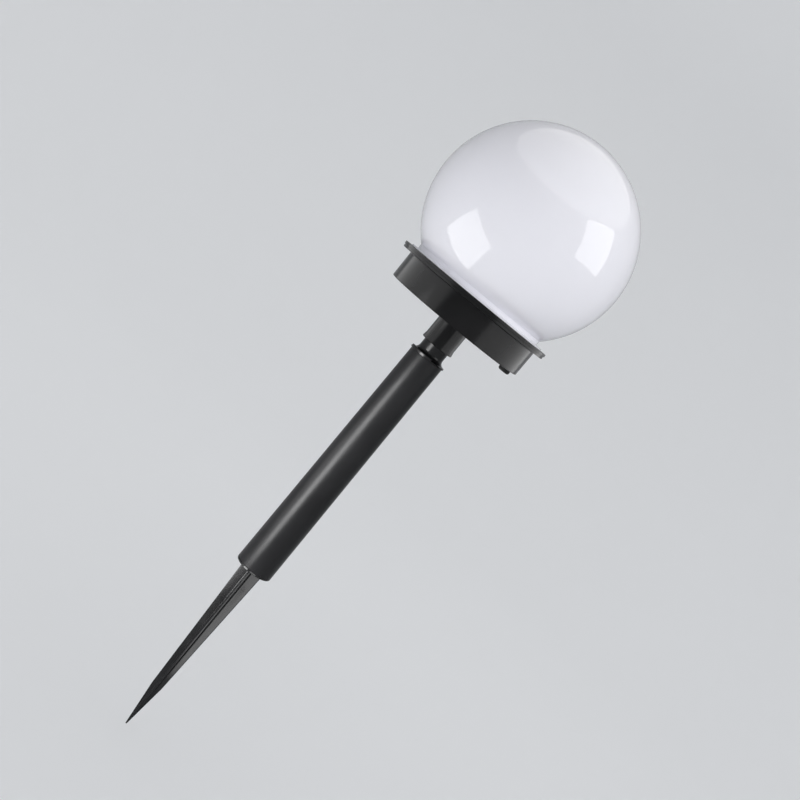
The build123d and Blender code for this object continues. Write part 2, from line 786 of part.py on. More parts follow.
def control_chip():
    """Package with a row of legs on each side."""
    z = control_board_top_z
    leg_width = 0.4
    leg_height = 0.5
    leg_reach = 0.8
    chip = block(chip_x, control_board_y, z + leg_height / 2, z + chip_height, chip_length, chip_width)
    for n in range(chip_legs):
        leg_x = chip_x + (n - (chip_legs - 1) / 2) * chip_length / chip_legs
        chip += block(leg_x, control_board_y, z, z + leg_height, leg_width, chip_width + 2 * leg_reach)
    return chip


def boost_coil():
    """Drum-shaped coil former with its winding as one waist."""
    waist_radius = coil_radius - coil_waist
    return Pos(coil_x, control_board_y, control_board_top_z) * turned(Polyline(
        (0, 0),
        (coil_radius, 0),
        (coil_radius, coil_flange_height),
        (waist_radius, coil_flange_height),
        (waist_radius, coil_height - coil_flange_height),
        (coil_radius, coil_height - coil_flange_height),
        (coil_radius, coil_height),
        (0, coil_height),
        close=True,
    ))


def smoothing_capacitor():
    z = control_board_top_z
    can = post(capacitor_x, control_board_y, z, z + capacitor_height, capacitor_radius)
    return fillet(can.edges().group_by(Axis.Z)[-1], capacitor_round)


# ---- Switch -------------------------------------------------------------------------------------
def switch_body():
    """Latching push switch with an ear on each side, bored for its plunger."""
    top = switch_foot_z + switch_height
    ear_top = switch_ear_z + switch_ear_thickness
    ear_width = 2 * (switch_wall_y + switch_ear_reach / 2)
    body = block(switch_x, 0, switch_foot_z, top, switch_length, switch_width)
    body += block(switch_x, 0, switch_ear_z, ear_top, switch_ear_length, ear_width)
    bore_top = plunger_top_z + button_travel + slide_gap
    body -= post(switch_x, 0, switch_foot_z - overshoot, bore_top, plunger_radius + running_gap)
    for x, y in switch_screw_places:
        body -= post(x, y, switch_ear_z - overshoot, ear_top + overshoot, switch_screw_radius + screw_gap)
    return body


def switch_screws():
    seat = switch_ear_z + switch_ear_thickness
    return [
        screw(x, y, seat, small_screw_length, switch_screw_radius, switch_screw_head_radius,
              small_screw_head_height, up=False)
        for x, y in switch_screw_places
    ]


def switch_plunger():
    """Rod that carries the button's push into the switch."""
    return post(switch_x, 0, plunger_foot_z, plunger_top_z, plunger_radius)


def button_cap():
    """Rubber cap that stands out below the drum and is kept in by a flange inside."""
    foot = drum_foot_z - button_reach
    cap = post(0, 0, foot, cap_flange_top_z, button_radius)
    cap = fillet(cap.edges().group_by(Axis.Z)[0], button_round)
    cap += post(0, 0, cap_flange_foot_z, cap_flange_top_z, button_flange_radius)
    cap -= post(0, 0, plunger_foot_z, cap_flange_top_z + overshoot, plunger_radius)
    return Pos(switch_x, 0, 0) * cap


# ---- Leads --------------------------------------------------------------------------------------
def battery_leads():
    """From each contact's tab to the control board."""
    tab_x = bay_half_length - contact_thickness / 2
    tab_y = battery_offset - bay_half_width - bay_wall - contact_tab_reach
    pad_x = 11.0
    pad_y = control_board_y + control_board_width / 2 - lead_row_inset
    run = 9.0
    rise_z = battery_axis_z + lead_bend
    leads = []
    for side in (1, -1):
        leads.append(lead(
            (side * tab_x, tab_y, battery_axis_z),
            (side * tab_x, tab_y - run, battery_axis_z),
            (side * pad_x, pad_y + run, rise_z),
            (side * pad_x, pad_y, rise_z),
            (side * pad_x, pad_y, control_board_top_z),
        ))
    return leads


def panel_leads():
    """From the panel's underside through the pocket's slot to the control board."""
    pad_y = control_board_y + control_board_width / 2 - lead_row_inset
    run_z = pocket_foot_z - lead_bend - overshoot
    leads = []
    for side in (1, -1):
        x = side * lead_slot_length / 4
        leads.append(lead(
            (x, lead_slot_y, pocket_floor_z),
            (x, lead_slot_y, run_z),
            (x, pad_y, run_z),
            (x, pad_y, control_board_top_z),
        ))
    return leads


def led_leads():
    """From the ring board down to the control board."""
    pad_y = control_board_y - control_board_width / 2 + lead_row_inset
    pad_pitch = 3.0
    sway = 2.5
    rise = (led_board_z - control_board_top_z) / 4
    leads = []
    for side in (1, -1):
        x = side * pad_pitch / 2
        leads.append(lead(
            (x, pad_y, control_board_top_z),
            (x, pad_y, control_board_top_z + rise),
            (x + sway, pad_y, led_board_z - rise),
            (x + sway, pad_y, led_board_z),
            bend=lead_tight_bend,
        ))
    return leads


def switch_leads():
    """From the switch's inner face across the floor to the control board."""
    start_x = switch_x - switch_length / 2
    start_z = switch_foot_z + switch_height / 2
    run_z = start_z + lead_bend / 2
    pad_x = control_board_length / 2 - lead_row_inset
    pad_y = control_board_y + control_board_width / 2 - lead_row_inset
    run = 8.0
    pitch = 2.0
    leads = []
    for n in (0, 1):
        pad = (pad_x - pitch / 2 * (1 - n), pad_y - n * pitch)
        leads.append(lead(
            (start_x, -(n + 1) * pitch, start_z),
            (start_x - run + n, -(n + 1) * pitch, start_z),
            (*pad, run_z),
            (*pad, control_board_top_z),
            bend=lead_tight_bend,
        ))
    return leads


# ---- Pole -----------------------------------------------------------------------------------------
def pole_adapter():
    """Neck that the head turns on, with its flare, collar and tab, and the plug for the tube."""
    plug_foot_z = tube_top_z - plug_length
    flare_start = (adapter_neck_radius, adapter_collar_top_z + adapter_flare)
    flare_end = (adapter_neck_radius + adapter_flare, adapter_collar_top_z)
    flare_middle = (
        adapter_neck_radius + adapter_flare * (1 - sqrt(0.5)),
        adapter_collar_top_z + adapter_flare * (1 - sqrt(0.5)),
    )
    collar_radius = max(adapter_collar_radius, flare_end[0] + running_gap)
    adapter = turned(
        Polyline(
            (0, spigot_top_z),
            (adapter_neck_radius - edge_round, spigot_top_z),
            (adapter_neck_radius, spigot_top_z - edge_round),
            flare_start,
        ),
        ThreePointArc(flare_start, flare_middle, flare_end),
        Polyline(
            flare_end,
            (collar_radius, adapter_collar_top_z),
            (collar_radius, tube_top_z),
            (plug_radius, tube_top_z),
            (plug_radius, plug_foot_z + plug_chamfer),
            (plug_radius - plug_chamfer, plug_foot_z),
            (plug_radius - adapter_wall, plug_foot_z),
            (plug_radius - adapter_wall, tube_top_z - adapter_wall),
            (adapter_neck_radius - adapter_wall, tube_top_z),
            (adapter_neck_radius - adapter_wall, spigot_top_z - adapter_wall),
            (0, spigot_top_z - adapter_wall),
            (0, spigot_top_z),
        ),
    )
    return adapter + ring_sector(
        adapter_neck_radius - root_overlap, collar_radius, adapter_collar_top_z - root_overlap,
        adapter_collar_top_z + adapter_tab_height, adapter_tab_start + adapter_tab_width / 2,
        adapter_tab_width,
    )


def pole_tube():
    """Tapered tube, widest at its foot."""
    tube = turned(Polyline(
        (tube_foot_radius, tube_foot_z),
        (tube_top_radius, tube_top_z),
        (tube_top_radius - tube_wall, tube_top_z),
        (tube_foot_radius - tube_wall, tube_foot_z),
        close=True,
    ))
    rims = circles_at(tube, tube_foot_radius, tube_foot_z) + circles_at(tube, tube_top_radius, tube_top_z)
    return fillet(rims, tube_edge_round)


# ---- Ground spike ---------------------------------------------------------------------------------
def cross_section(reach, thickness, root_round):
    """Two crossed strips with rounded inner corners."""
    cross = Rectangle(2 * reach, thickness) + Rectangle(thickness, 2 * reach)
    roots = cross.vertices().filter_by(lambda v: hypot(v.X, v.Y) < thickness)
    return fillet(roots, root_round)


def spike_blades():
    """Four crossed blades that flare under the collar and narrow to a point, their long edges rounded."""
    widest = spike_top_radius + spike_flare
    bend_z = -spike_length + spike_point_length
    envelope = turned(
        Line((0, 0), (widest, 0)),
        RadiusArc((widest, 0), (spike_top_radius, -spike_flare_length), spike_flare_length * 1.8),
        Polyline(
            (spike_top_radius, -spike_flare_length),
            (spike_bend_radius, bend_z),
            (tip_radius, -spike_length),
            (0, -spike_length),
            (0, 0),
        ),
    )
    cross = cross_section(widest + overshoot, blade_thickness, blade_root_round)
    blades = extrude(cross, -spike_length) & envelope
    half_thickness = blade_thickness / 2

    def is_long_edge(edge):
        near = 0.01
        middle = edge @ 0.5
        across, along = sorted((abs(middle.X), abs(middle.Y)))
        beyond_root = along > half_thickness + blade_root_round + near
        falls = abs((edge @ 0).Z - (edge @ 1).Z) > blade_thickness
        return falls and beyond_root and abs(across - half_thickness) < near

    blades = fillet(blades.edges().filter_by(is_long_edge), blade_edge_round)
    mark = Cylinder(ejector_mark_radius, 2 * ejector_mark_depth)
    return blades - Pos(ejector_mark_offset, -half_thickness, -ejector_mark_drop) * Rot(90, 0, 0) * mark


def ground_spike():
    """The blades, the collar at ground level, and the ribbed tenon that the tube sits on."""
    collar = ring(0, tube_foot_radius, 0, spike_collar_thickness)
    tenon_top_z = tube_foot_z + tenon_length
    bore_slope = (tube_foot_radius - tube_top_radius) / tube_length
    tenon_foot_radius = tube_foot_radius - tube_wall - running_gap
    tenon_top_radius = tenon_foot_radius - bore_slope * tenon_length
    tenon = turned(Polyline(
        (tenon_foot_radius, tube_foot_z),
        (tenon_top_radius, tenon_top_z - tenon_chamfer),
        (tenon_top_radius - tenon_chamfer, tenon_top_z),
        (tenon_top_radius - tenon_wall, tenon_top_z),
        (tenon_foot_radius - tenon_wall, tube_foot_z),
        close=True,
    ))
    web_reach = tenon_top_radius - tenon_wall / 2
    web_section = cross_section(web_reach, blade_thickness, blade_root_round)
    web = Pos(0, 0, tube_foot_z) * extrude(web_section, tenon_length - web_setback)
    return spike_blades() + collar + tenon + web


# ---- Writing ----------------------------------------------------------------------------------------
os.makedirs("parts", exist_ok=True)


def write(name, shape):
    solids = shape if isinstance(shape, list) else [shape]
    export_step(Compound([solid for piece in solids for solid in piece.solids()]), f"parts/{name}.step")


write("globe_shade", globe_shade())
write("globe_gasket", globe_gasket())
write("top_cover", top_cover())
write("solar_panel_board", panel_board())
write("solar_cells", solar_cells())
write("solar_panel_resin", panel_resin())
write("led_board", led_board())
write("led_lamps", led_lamps())
write("led_board_screws", led_board_screws())
write("base_drum", base_drum())
write("housing_gasket", housing_gasket())
write("housing_screws", housing_screws())
write("battery_door", battery_door())
write("battery_door_seal", battery_door_seal())
write("battery_door_screws", battery_door_screws())
write("battery_cell", battery_cell())
write("battery_contact_positive", contact_plate(1))
write("battery_contact_spring", contact_spring())
write("control_board", control_board())
write("control_board_screws", control_board_screws())
write("control_chip", control_chip())
write("boost_coil", boost_coil())
write("smoothing_capacitor", smoothing_capacitor())
write("switch_body", switch_body())
write("switch_screws", switch_screws())
write("switch_plunger", switch_plunger())
write("button_cap", button_cap())
write("battery_leads", battery_leads())
write("panel_leads", panel_leads())
write("led_leads", led_leads())
write("switch_leads", switch_leads())
write("pole_adapter", pole_adapter())
write("pole_tube", pole_tube())
write("ground_spike", ground_spike())
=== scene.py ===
"""Garden globe light on a ground spike: its finished pieces, materials and studio."""

import math

import bpy
from bpy.props import FloatProperty, FloatVectorProperty, IntProperty, PointerProperty
from mathutils import Matrix, Vector


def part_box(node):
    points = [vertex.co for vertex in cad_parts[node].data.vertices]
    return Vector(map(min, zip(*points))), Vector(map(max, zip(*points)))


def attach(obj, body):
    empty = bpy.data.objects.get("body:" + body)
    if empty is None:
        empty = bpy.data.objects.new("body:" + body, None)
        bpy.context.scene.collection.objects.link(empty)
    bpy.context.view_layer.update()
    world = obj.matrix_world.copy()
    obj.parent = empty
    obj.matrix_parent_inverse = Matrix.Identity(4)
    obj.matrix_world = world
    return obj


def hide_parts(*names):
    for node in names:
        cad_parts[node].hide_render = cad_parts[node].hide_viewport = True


bl_info = {
    "name": "Garden Globe Light",
    "version": (1, 0, 0),
    "blender": (4, 5, 0),
    "location": "View3D > Sidebar > Globe Light",
    "description": "Builds the pieces of a garden globe light, their finishes and a small studio",
    "category": "Object",
}

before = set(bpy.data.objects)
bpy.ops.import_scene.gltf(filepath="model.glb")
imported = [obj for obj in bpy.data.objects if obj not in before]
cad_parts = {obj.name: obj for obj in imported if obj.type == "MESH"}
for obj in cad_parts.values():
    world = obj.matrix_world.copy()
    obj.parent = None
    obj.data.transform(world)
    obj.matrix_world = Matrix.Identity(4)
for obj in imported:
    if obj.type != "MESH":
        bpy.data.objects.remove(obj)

# Lengths are in metres, and FULL_TURN is in degrees. Places closer than NEAR count as the same.
MM = 0.001
NEAR = 1e-6
MERGE_DISTANCE = 2e-6
FULL_TURN = 360.0
EDGE = 0.3 * MM
PLAY = 0.1 * MM
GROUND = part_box("ground_spike")
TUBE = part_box("pole_tube")
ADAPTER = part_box("pole_adapter")
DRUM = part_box("base_drum")
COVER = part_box("top_cover")
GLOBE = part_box("globe_shade")
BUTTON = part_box("button_cap")
LIP_FOOT = COVER[1][2]


def length(name, description, default):
    """A size, given here in millimetres and kept in metres."""
    return FloatProperty(
        name=name, description=description, default=default * MM, unit="LENGTH", precision=5, min=0.0)


def in_degrees(name, description, default):
    """An angle, given here in degrees and kept in radians."""
    return FloatProperty(
        name=name, description=description, default=math.radians(default), subtype="ANGLE")


def amount(name, description, default):
    """A strength that can't be less than nothing."""
    return FloatProperty(name=name, description=description, default=default, min=0.0)


def colour(name, description, default):
    return FloatVectorProperty(
        name=name, description=description, default=default, subtype="COLOR", size=3, min=0.0, max=1.0)


# ---- Sizes and colours a user would change ----
class GlobeSettings(bpy.types.PropertyGroup):
    wall: length("Wall", "Thickness of the ball's wall", 1.6)
    neck_radius: length("Neck radius", "Outer radius of the neck under the ball", 52.47)
    neck_wall: length("Neck wall", "Thickness of the neck's wall", 2.4)
    lip_radius: length("Lip radius", "Outer radius of the lip on the flange", 56.87)
    lip_thickness: length("Lip thickness", "Thickness of that lip", 1.0)
    skirt_radius: length("Skirt radius", "Outer radius of the ring inside the flange", 48.77)
    skirt_wall: length("Skirt wall", "Thickness of that ring", 1.6)
    skirt_depth: length("Skirt depth", "How far the ring reaches below the lip", 4.2)
    lug_reach: length("Lug reach", "How far the bayonet lugs stand out", 2.0)
    lug_height: length("Lug height", "Height of the bayonet lugs", 1.6)
    locked_direction: in_degrees(
        "Locked direction", "Direction of the first lug when the globe is locked", -125.0)
    milk: colour("Milk colour", "Colour of the milky plastic", (0.9, 0.895, 0.96))


class HeadSettings(bpy.types.PropertyGroup):
    flange_thickness: length("Flange thickness", "Thickness of the flange's upper layer", 2.0)
    rim_thickness: length("Rim thickness", "Thickness of the flange's lower layer", 2.0)
    drum_top_radius: length("Drum top radius", "Outer radius of the drum under its rim", 54.78)
    drum_foot_radius: length("Drum foot radius", "Outer radius of the drum at its foot", 54.28)
    drum_wall: length("Drum wall", "Thickness of the drum's wall", 1.8)
    drum_floor: length("Drum floor", "Thickness of the drum's floor", 2.0)
    boss_radius: length("Boss radius", "Outer radius of the socket under the drum", 11.9)
    socket_radius: length("Socket radius", "Bore of that socket", 10.0)
    boss_length: length("Boss length", "Length of the socket below the drum", 19.3)
    edge_round: length("Edge round", "Rounding of the drum's foot", 0.6)
    plastic: colour("Plastic colour", "Colour of the satin plastic", (0.006, 0.006, 0.0063))


class PoleSettings(bpy.types.PropertyGroup):
    tube_foot_radius: length("Tube foot radius", "Outer radius of the tube at its foot", 14.0)
    tube_top_radius: length("Tube top radius", "Outer radius of the tube at its top", 13.1)
    tube_wall: length("Tube wall", "Thickness of the tube's wall", 1.5)
    neck_radius: length("Neck radius", "Radius of the neck that the head turns on", 9.9)
    flare: length("Flare", "Radius of the concave flare above the collar", 3.9)
    collar_thickness: length("Collar thickness", "Thickness of the collar on the tube's top", 1.2)
    tab_height: length("Tab height", "How far the tab stands above the collar", 1.1)
    plastic: colour("Tube colour", "Colour of the tube's satin plastic", (0.008, 0.008, 0.0086))
    gloss_plastic: colour(
        "Gloss colour", "Colour of the adapter's and spike's plastic", (0.005, 0.005, 0.0053))


class SpikeSettings(bpy.types.PropertyGroup):
    collar_thickness: length("Collar thickness", "Thickness of the collar on the ground", 1.6)
    blade_thickness: length("Blade thickness", "Thickness of the four blades", 1.75)
    blade_round: length("Blade round", "Rounding of the blades' long edges", 0.5)
    root_round: length("Root round", "Rounding between the blades", 1.2)
    top_reach: length("Top reach", "Reach of the blades below their flare", 8.25)
    flare_reach: length("Flare reach", "Reach of the blades under the collar", 9.4)
    flare_length: length("Flare length", "Length of the flare under the collar", 4.5)
    bend_reach: length("Bend reach", "Reach of the blades where their point begins", 4.15)
    point_length: length("Point length", "Length of the point", 35.0)
    mark_radius: length("Mark radius", "Radius of the moulding mark on one blade", 1.5)
    mark_depth: length("Mark depth", "Depth of that mark", 0.2)
    mark_offset: length("Mark offset", "Distance of that mark from the axis", 3.8)
    mark_drop: length("Mark drop", "Distance of that mark below the collar", 16.0)
    tenon_length: length("Tenon length", "Length of the tenon inside the tube", 24.0)


class StageSettings(bpy.types.PropertyGroup):
    floor: colour("Floor colour", "Colour of the floor and backdrop", (0.62, 0.63, 0.645))
    left_distance: length("Left distance", "Distance of the left softbox from the globe", 380.0)
    right_distance: length("Right distance", "Distance of the right softbox from the globe", 1200.0)
    left_angle: in_degrees("Left width", "How wide the left softbox looks from the globe", 38.5)
    right_angle: in_degrees("Right width", "How wide the right softbox looks from the globe", 37.0)
    left_turn: in_degrees("Left turn", "How far the left softbox is turned on its stand", 45.0)
    left_glow: amount("Left glow", "Brightness of the left softbox's face", 2.1)
    right_glow: amount("Right glow", "Brightness of the right softbox's face", 2.1)
    strip_glow: amount("Strip glow", "Brightness of the strip that only pole and spike take", 15.0)
    front_glow: amount("Front glow", "Brightness of the panel that only the spike takes", 4.2)
    panel_glow: amount("Panel glow", "Brightness of the panels that only drum and cover take", 1.9)
    fill_glow: amount("Fill glow", "Brightness of the matt light beside the camera", 2.05)
    rear_glow: amount("Rear glow", "Brightness of the matt light behind the globe", 1.2)
    sky: amount("Sky", "Strength of the even light from all round", 1.0)
    paper_glow: amount("Paper glow", "Light that the backdrop shows only to the camera", 0.38)
    turns: IntProperty(name="Steps", description="Steps of a full turn in round pieces", default=128, min=24)


# ---- Modelling by hand, step by step ----
def new_piece(name):
    """Names the primitive that has just been added."""
    piece = bpy.context.active_object
    piece.name = name
    piece.data.name = name
    return piece


def clear_selection():
    if bpy.context.mode != "OBJECT":
        bpy.ops.object.mode_set(mode="OBJECT")
    bpy.ops.object.select_all(action="DESELECT")


def only(piece):
    clear_selection()
    piece.select_set(True)
    bpy.context.view_layer.objects.active = piece


def settle(piece):
    """Puts a piece's place into its mesh."""
    only(piece)
    bpy.ops.object.transform_apply(location=True, rotation=True, scale=True)
    return piece


def outline(name, points, closed, fill):
    """Draws a chain of edges: one vertex, extruded from point to point. Leaves it in edit mode."""
    clear_selection()
    bpy.ops.mesh.primitive_plane_add(size=MM, location=points[0])
    piece = new_piece(name)
    bpy.ops.object.mode_set(mode="EDIT")
    bpy.context.tool_settings.mesh_select_mode = (True, False, False)
    bpy.ops.mesh.select_all(action="SELECT")
    bpy.ops.mesh.merge(type="CENTER")
    last = Vector(points[0])
    for point in points[1:]:
        step = Vector(point) - last
        bpy.ops.mesh.extrude_vertices_move(TRANSFORM_OT_translate={"value": step})
        last = Vector(point)
    bpy.ops.mesh.select_all(action="SELECT")
    if closed:
        bpy.ops.mesh.edge_face_add()
        if not fill:
            bpy.ops.mesh.delete(type="ONLY_FACE")
    return piece


def lathe(name, profile, steps=None, start=0.0, sweep=FULL_TURN, sheet=False):
    """Spins an outline of (radius, height) points about the lamp's axis. A sheet faces inwards."""
    steps = steps or bpy.context.scene.stage_settings.turns
    whole = sweep >= FULL_TURN
    turn = Matrix.Rotation(math.radians(start), 4, "Z")
    points = [turn @ Vector((radius, 0.0, height)) for radius, height in profile]
    on_axis = profile[0][0] < NEAR and profile[-1][0] < NEAR
    piece = outline(name, points, closed=not (on_axis or sheet), fill=not whole)
    bpy.ops.mesh.select_all(action="SELECT")
    bpy.ops.mesh.spin(
        steps=steps, angle=math.radians(sweep), center=(0.0, 0.0, 0.0), axis=(0.0, 0.0, 1.0),
        use_auto_merge=whole)
    tidy_mesh(inside=sheet)
    return settle(piece)


def tidy_mesh(inside=False):
    """Merges doubled points, turns the faces outwards or inside, and leaves edit mode."""
    bpy.ops.mesh.select_all(action="SELECT")
    bpy.ops.mesh.remove_doubles(threshold=MERGE_DISTANCE)
    bpy.ops.mesh.normals_make_consistent(inside=inside)
    bpy.ops.object.mode_set(mode="OBJECT")


def select_where(piece, test):
    """Selects the vertices whose place passes the test, in edit mode."""
    bpy.ops.object.mode_set(mode="OBJECT")
    for item in (*piece.data.polygons, *piece.data.edges):
        item.select = False
    for item in piece.data.vertices:
        item.select = test(piece.matrix_world @ item.co)
    bpy.ops.object.mode_set(mode="EDIT")
    bpy.context.tool_settings.mesh_select_mode = (True, False, False)


def selected_height(piece):
    """The height of the level that is selected in edit mode."""
    piece.update_from_editmode()
    chosen = [piece.matrix_world @ item.co for item in piece.data.vertices if item.select]
    return chosen[0].z


def extrude_to(piece, height):
    """Extrudes the selected level straight up or down to a height."""
    bpy.ops.mesh.extrude_region_move(
        TRANSFORM_OT_translate={"value": (0.0, 0.0, height - selected_height(piece))})


def bar(name, place, size):
    """A block of the given size about its middle, shaped from a cube."""
    clear_selection()
    bpy.ops.mesh.primitive_cube_add(size=1.0, location=place, scale=size)
    return settle(new_piece(name))


def slab(name, x, y, half_x, half_y, bottom, top):
    """A block between two heights, given by its middle and half its sides."""
    return bar(name, (x, y, (bottom + top) / 2), (2 * half_x, 2 * half_y, top - bottom))


def groove(start, end, top):
    """The four corners of a seal's groove in a face at the given height."""
    floor = top - 0.9 * MM
    return [(start, top), (start, floor), (end, floor), (end, top)]


def rod(name, x, y, bottom, top, radius, steps):
    """An upright round bar between two heights."""
    clear_selection()
    bpy.ops.mesh.primitive_cylinder_add(
        vertices=steps, radius=radius, depth=top - bottom, location=(x, y, (bottom + top) / 2))
    return settle(new_piece(name))


def join(first, *others):
    """Joins closed shells into one piece."""
    only(first)
    for other in others:
        other.select_set(True)
    bpy.ops.object.join()
    return first


def change(piece, kind, **values):
    """Adds a modifier with the given values and applies it."""
    only(piece)
    modifier = piece.modifiers.new(kind, kind)
    for name, value in values.items():
        setattr(modifier, name, value)
    bpy.ops.object.modifier_apply(modifier=modifier.name)
    return piece


def cut(piece, tool, operation="DIFFERENCE"):
    """Cuts a tool from the piece and removes the tool."""
    change(piece, "BOOLEAN", operation=operation, solver="EXACT", object=tool)
    bpy.data.objects.remove(tool)


def weld(piece, tool):
    """Unites a tool with the piece and removes the tool."""
    cut(piece, tool, "UNION")


def soften(piece, width):
    """Rounds the sharp edges of a piece."""
    return change(
        piece, "BEVEL", width=width, segments=2, limit_method="ANGLE", angle_limit=math.radians(40.0))


def smooth(piece, angle=32.0):
    """Shades a piece smooth, apart from edges sharper than the angle in degrees."""
    only(piece)
    bpy.ops.object.shade_smooth_by_angle(angle=math.radians(angle))
    return piece


def dress(piece, material, body, slot, *nodes):
    """Gives a finished piece its material and its body, and hides the nodes it stands for. The slot is not
    used.
    """
    piece.data.materials.clear()
    piece.data.materials.append(material)
    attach(piece, body)
    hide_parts(*nodes)


def arc(centre, radius, start, end, count):
    """Points of an arc in the (radius, height) plane, angles in degrees."""
    found = []
    for n in range(count + 1):
        angle = math.radians(start + (end - start) * n / count)
        found.append((centre[0] + radius * math.cos(angle), centre[1] + radius * math.sin(angle)))
    return found


def cross_section(reach, height):
    """The four blades at one height, with round ends and round inner corners."""
    s = bpy.context.scene.spike_settings
    half = s.blade_thickness / 2
    end = arc((reach - s.blade_round, half - s.blade_round), s.blade_round, 0.0, 90.0, 3)
    bend = half + s.root_round
    corner = arc((bend, bend), s.root_round, 270.0, 180.0, 5)
    quarter = end + corner + [(y, x) for x, y in reversed(end)]
    found = []
    for n in range(4):
        turn = Matrix.Rotation(math.radians(90.0 * n), 2)
        for point in quarter:
            found.append(Vector((*(turn @ Vector(point)), height)))
    return found


def cross_bar(name, levels, point=None):
    """Extrudes the blades from level to level and pulls their four ends to each reach."""
    piece = outline(name, cross_section(*levels[0]), closed=True, fill=True)
    blade_round = bpy.context.scene.spike_settings.blade_round
    for (before, _), (reach, height) in zip(levels, levels[1:]):
        extrude_to(piece, height)
        if abs(reach - before) > NEAR:
            beyond = before - blade_round - NEAR
            for direction in (Vector((1, 0, 0)), Vector((0, 1, 0)), Vector((-1, 0, 0)), Vector((0, -1, 0))):
                select_where(piece, lambda v: abs(v.z - height) < NEAR and v.dot(direction) > beyond)
                bpy.ops.transform.translate(value=direction * (reach - before))
            select_where(piece, lambda v: abs(v.z - height) < NEAR)
            bpy.ops.mesh.select_mode(type="FACE")
    if point is not None:
        radius, height = point
        extrude_to(piece, height)
        factor = radius / levels[-1][0]
        bpy.ops.transform.resize(value=(factor, factor, 1.0), center_override=(0.0, 0.0, height))
    tidy_mesh()
    return settle(piece)


# ---- Materials ----
EVEN = (1.0, 1.0, 1.0)
# Most of a noise pattern lies between these two numbers.
PATTERN_LOW = 0.3
PATTERN_HIGH = 0.7


class Shader:
    """A small helper that lays out one material's nodes."""

    def __init__(self, name, base, roughness, metallic=0.0, ior=1.5):
        self.material = bpy.data.materials.new(name)
        self.material.use_nodes = True
        self.nodes = self.material.node_tree.nodes
        self.links = self.material.node_tree.links
        self.surface = self.nodes["Principled BSDF"]
        self.set("Base Color", (*base, 1.0))
        self.set("Roughness", roughness)
        self.set("Metallic", metallic)
        self.set("IOR", ior)
        self.place = self.nodes.new("ShaderNodeTexCoord")
        self.height = None

    def set(self, socket, value):
        self.surface.inputs[socket].default_value = value

    def link(self, output, socket):
        self.links.new(output, self.surface.inputs[socket])

    def node(self, kind, values, linked):
        """Adds a node with values for some of its sockets and links to others."""
        node = self.nodes.new(kind)
        for socket, value in values.items():
            node.inputs[socket].default_value = value
        for socket, output in linked.items():
            self.links.new(output, node.inputs[socket])
        return node

    def mapping(self, scale):
        """The object's own coordinates, stretched."""
        return self.node(
            "ShaderNodeMapping", {"Scale": scale}, {"Vector": self.place.outputs["Object"]}).outputs["Vector"]

    def along(self, axis):
        """The object's own coordinate along one axis, in metres."""
        return self.node("ShaderNodeSeparateXYZ", {}, {"Vector": self.place.outputs["Object"]}).outputs[axis]

    def noise(self, scale, detail=3.0, stretch=EVEN, roughness=0.5):
        node = self.node(
            "ShaderNodeTexNoise", {"Scale": scale, "Detail": detail, "Roughness": roughness},
            {"Vector": self.mapping(stretch)})
        return node.outputs["Fac"]

    def spread(self, fac, low, high, first=0.0, last=1.0):
        """Maps numbers that run from first to last onto the range from low to high."""
        node = self.node(
            "ShaderNodeMapRange", {"From Min": first, "From Max": last, "To Min": low, "To Max": high},
            {"Value": fac})
        return node.outputs["Result"]

    def tint(self, fac, first, last, low=PATTERN_LOW, high=PATTERN_HIGH):
        """Base colour that runs between two colours along a pattern."""
        node = self.node("ShaderNodeValToRGB", {}, {"Fac": fac})
        for element, position, tone in zip(node.color_ramp.elements, (low, high), (first, last)):
            element.position = position
            element.color = (*tone, 1.0)
        self.link(node.outputs["Color"], "Base Color")
        return node.outputs["Color"]

    def rough(self, fac, low, high):
        """Roughness that runs between two values along a pattern."""
        self.link(self.spread(fac, low, high, PATTERN_LOW, PATTERN_HIGH), "Roughness")

    def bump(self, fac, distance):
        """Adds a layer of relief, its height in millimetres."""
        node = self.node("ShaderNodeBump", {"Distance": distance * MM}, {"Height": fac})
        if self.height is not None:
            self.links.new(self.height, node.inputs["Normal"])
        self.height = node.outputs["Normal"]
        self.link(self.height, "Normal")


def shaded(base, factor):
    """The same colour, darker or lighter."""
    return tuple(min(1.0, channel * factor) for channel in base)


def milky_plastic(base, neck, crown):
    """Glossy blown plastic with faint clouds and slow waves; its colour carries painted light, lightest at
    the neck and darker towards the crown.
    """
    s = Shader("milky_plastic", base, 0.1, ior=1.49)
    s.set("Subsurface Weight", 0.3)
    s.set("Subsurface Radius", (1.0, 0.98, 0.95))
    s.set("Subsurface Scale", 0.006)
    s.set("Specular IOR Level", 0.0)
    s.set("Coat Weight", 1.0)
    s.set("Coat Roughness", 0.03)
    s.set("Coat IOR", 1.65)
    clouds = s.spread(s.noise(12.0, 2.0), -0.06, 0.06)
    # Painted light: the colour runs from its lightest tone at the neck, against the flange's shade, to a
    # darker tone at the crown as painted shade; the clouds add random tone.
    wall = s.node("ShaderNodeMath", {}, {0: s.spread(s.along("Z"), 0.0, 1.0, neck, crown), 1: clouds})
    s.tint(wall.outputs["Value"], base, shaded(base, 0.86), 0.05, 1.0)
    s.rough(s.noise(60.0, 3.0), 0.09, 0.13)
    s.bump(s.noise(14.0, 1.0), 0.05)
    s.bump(s.noise(900.0, 2.0), 0.0015)
    return s.material


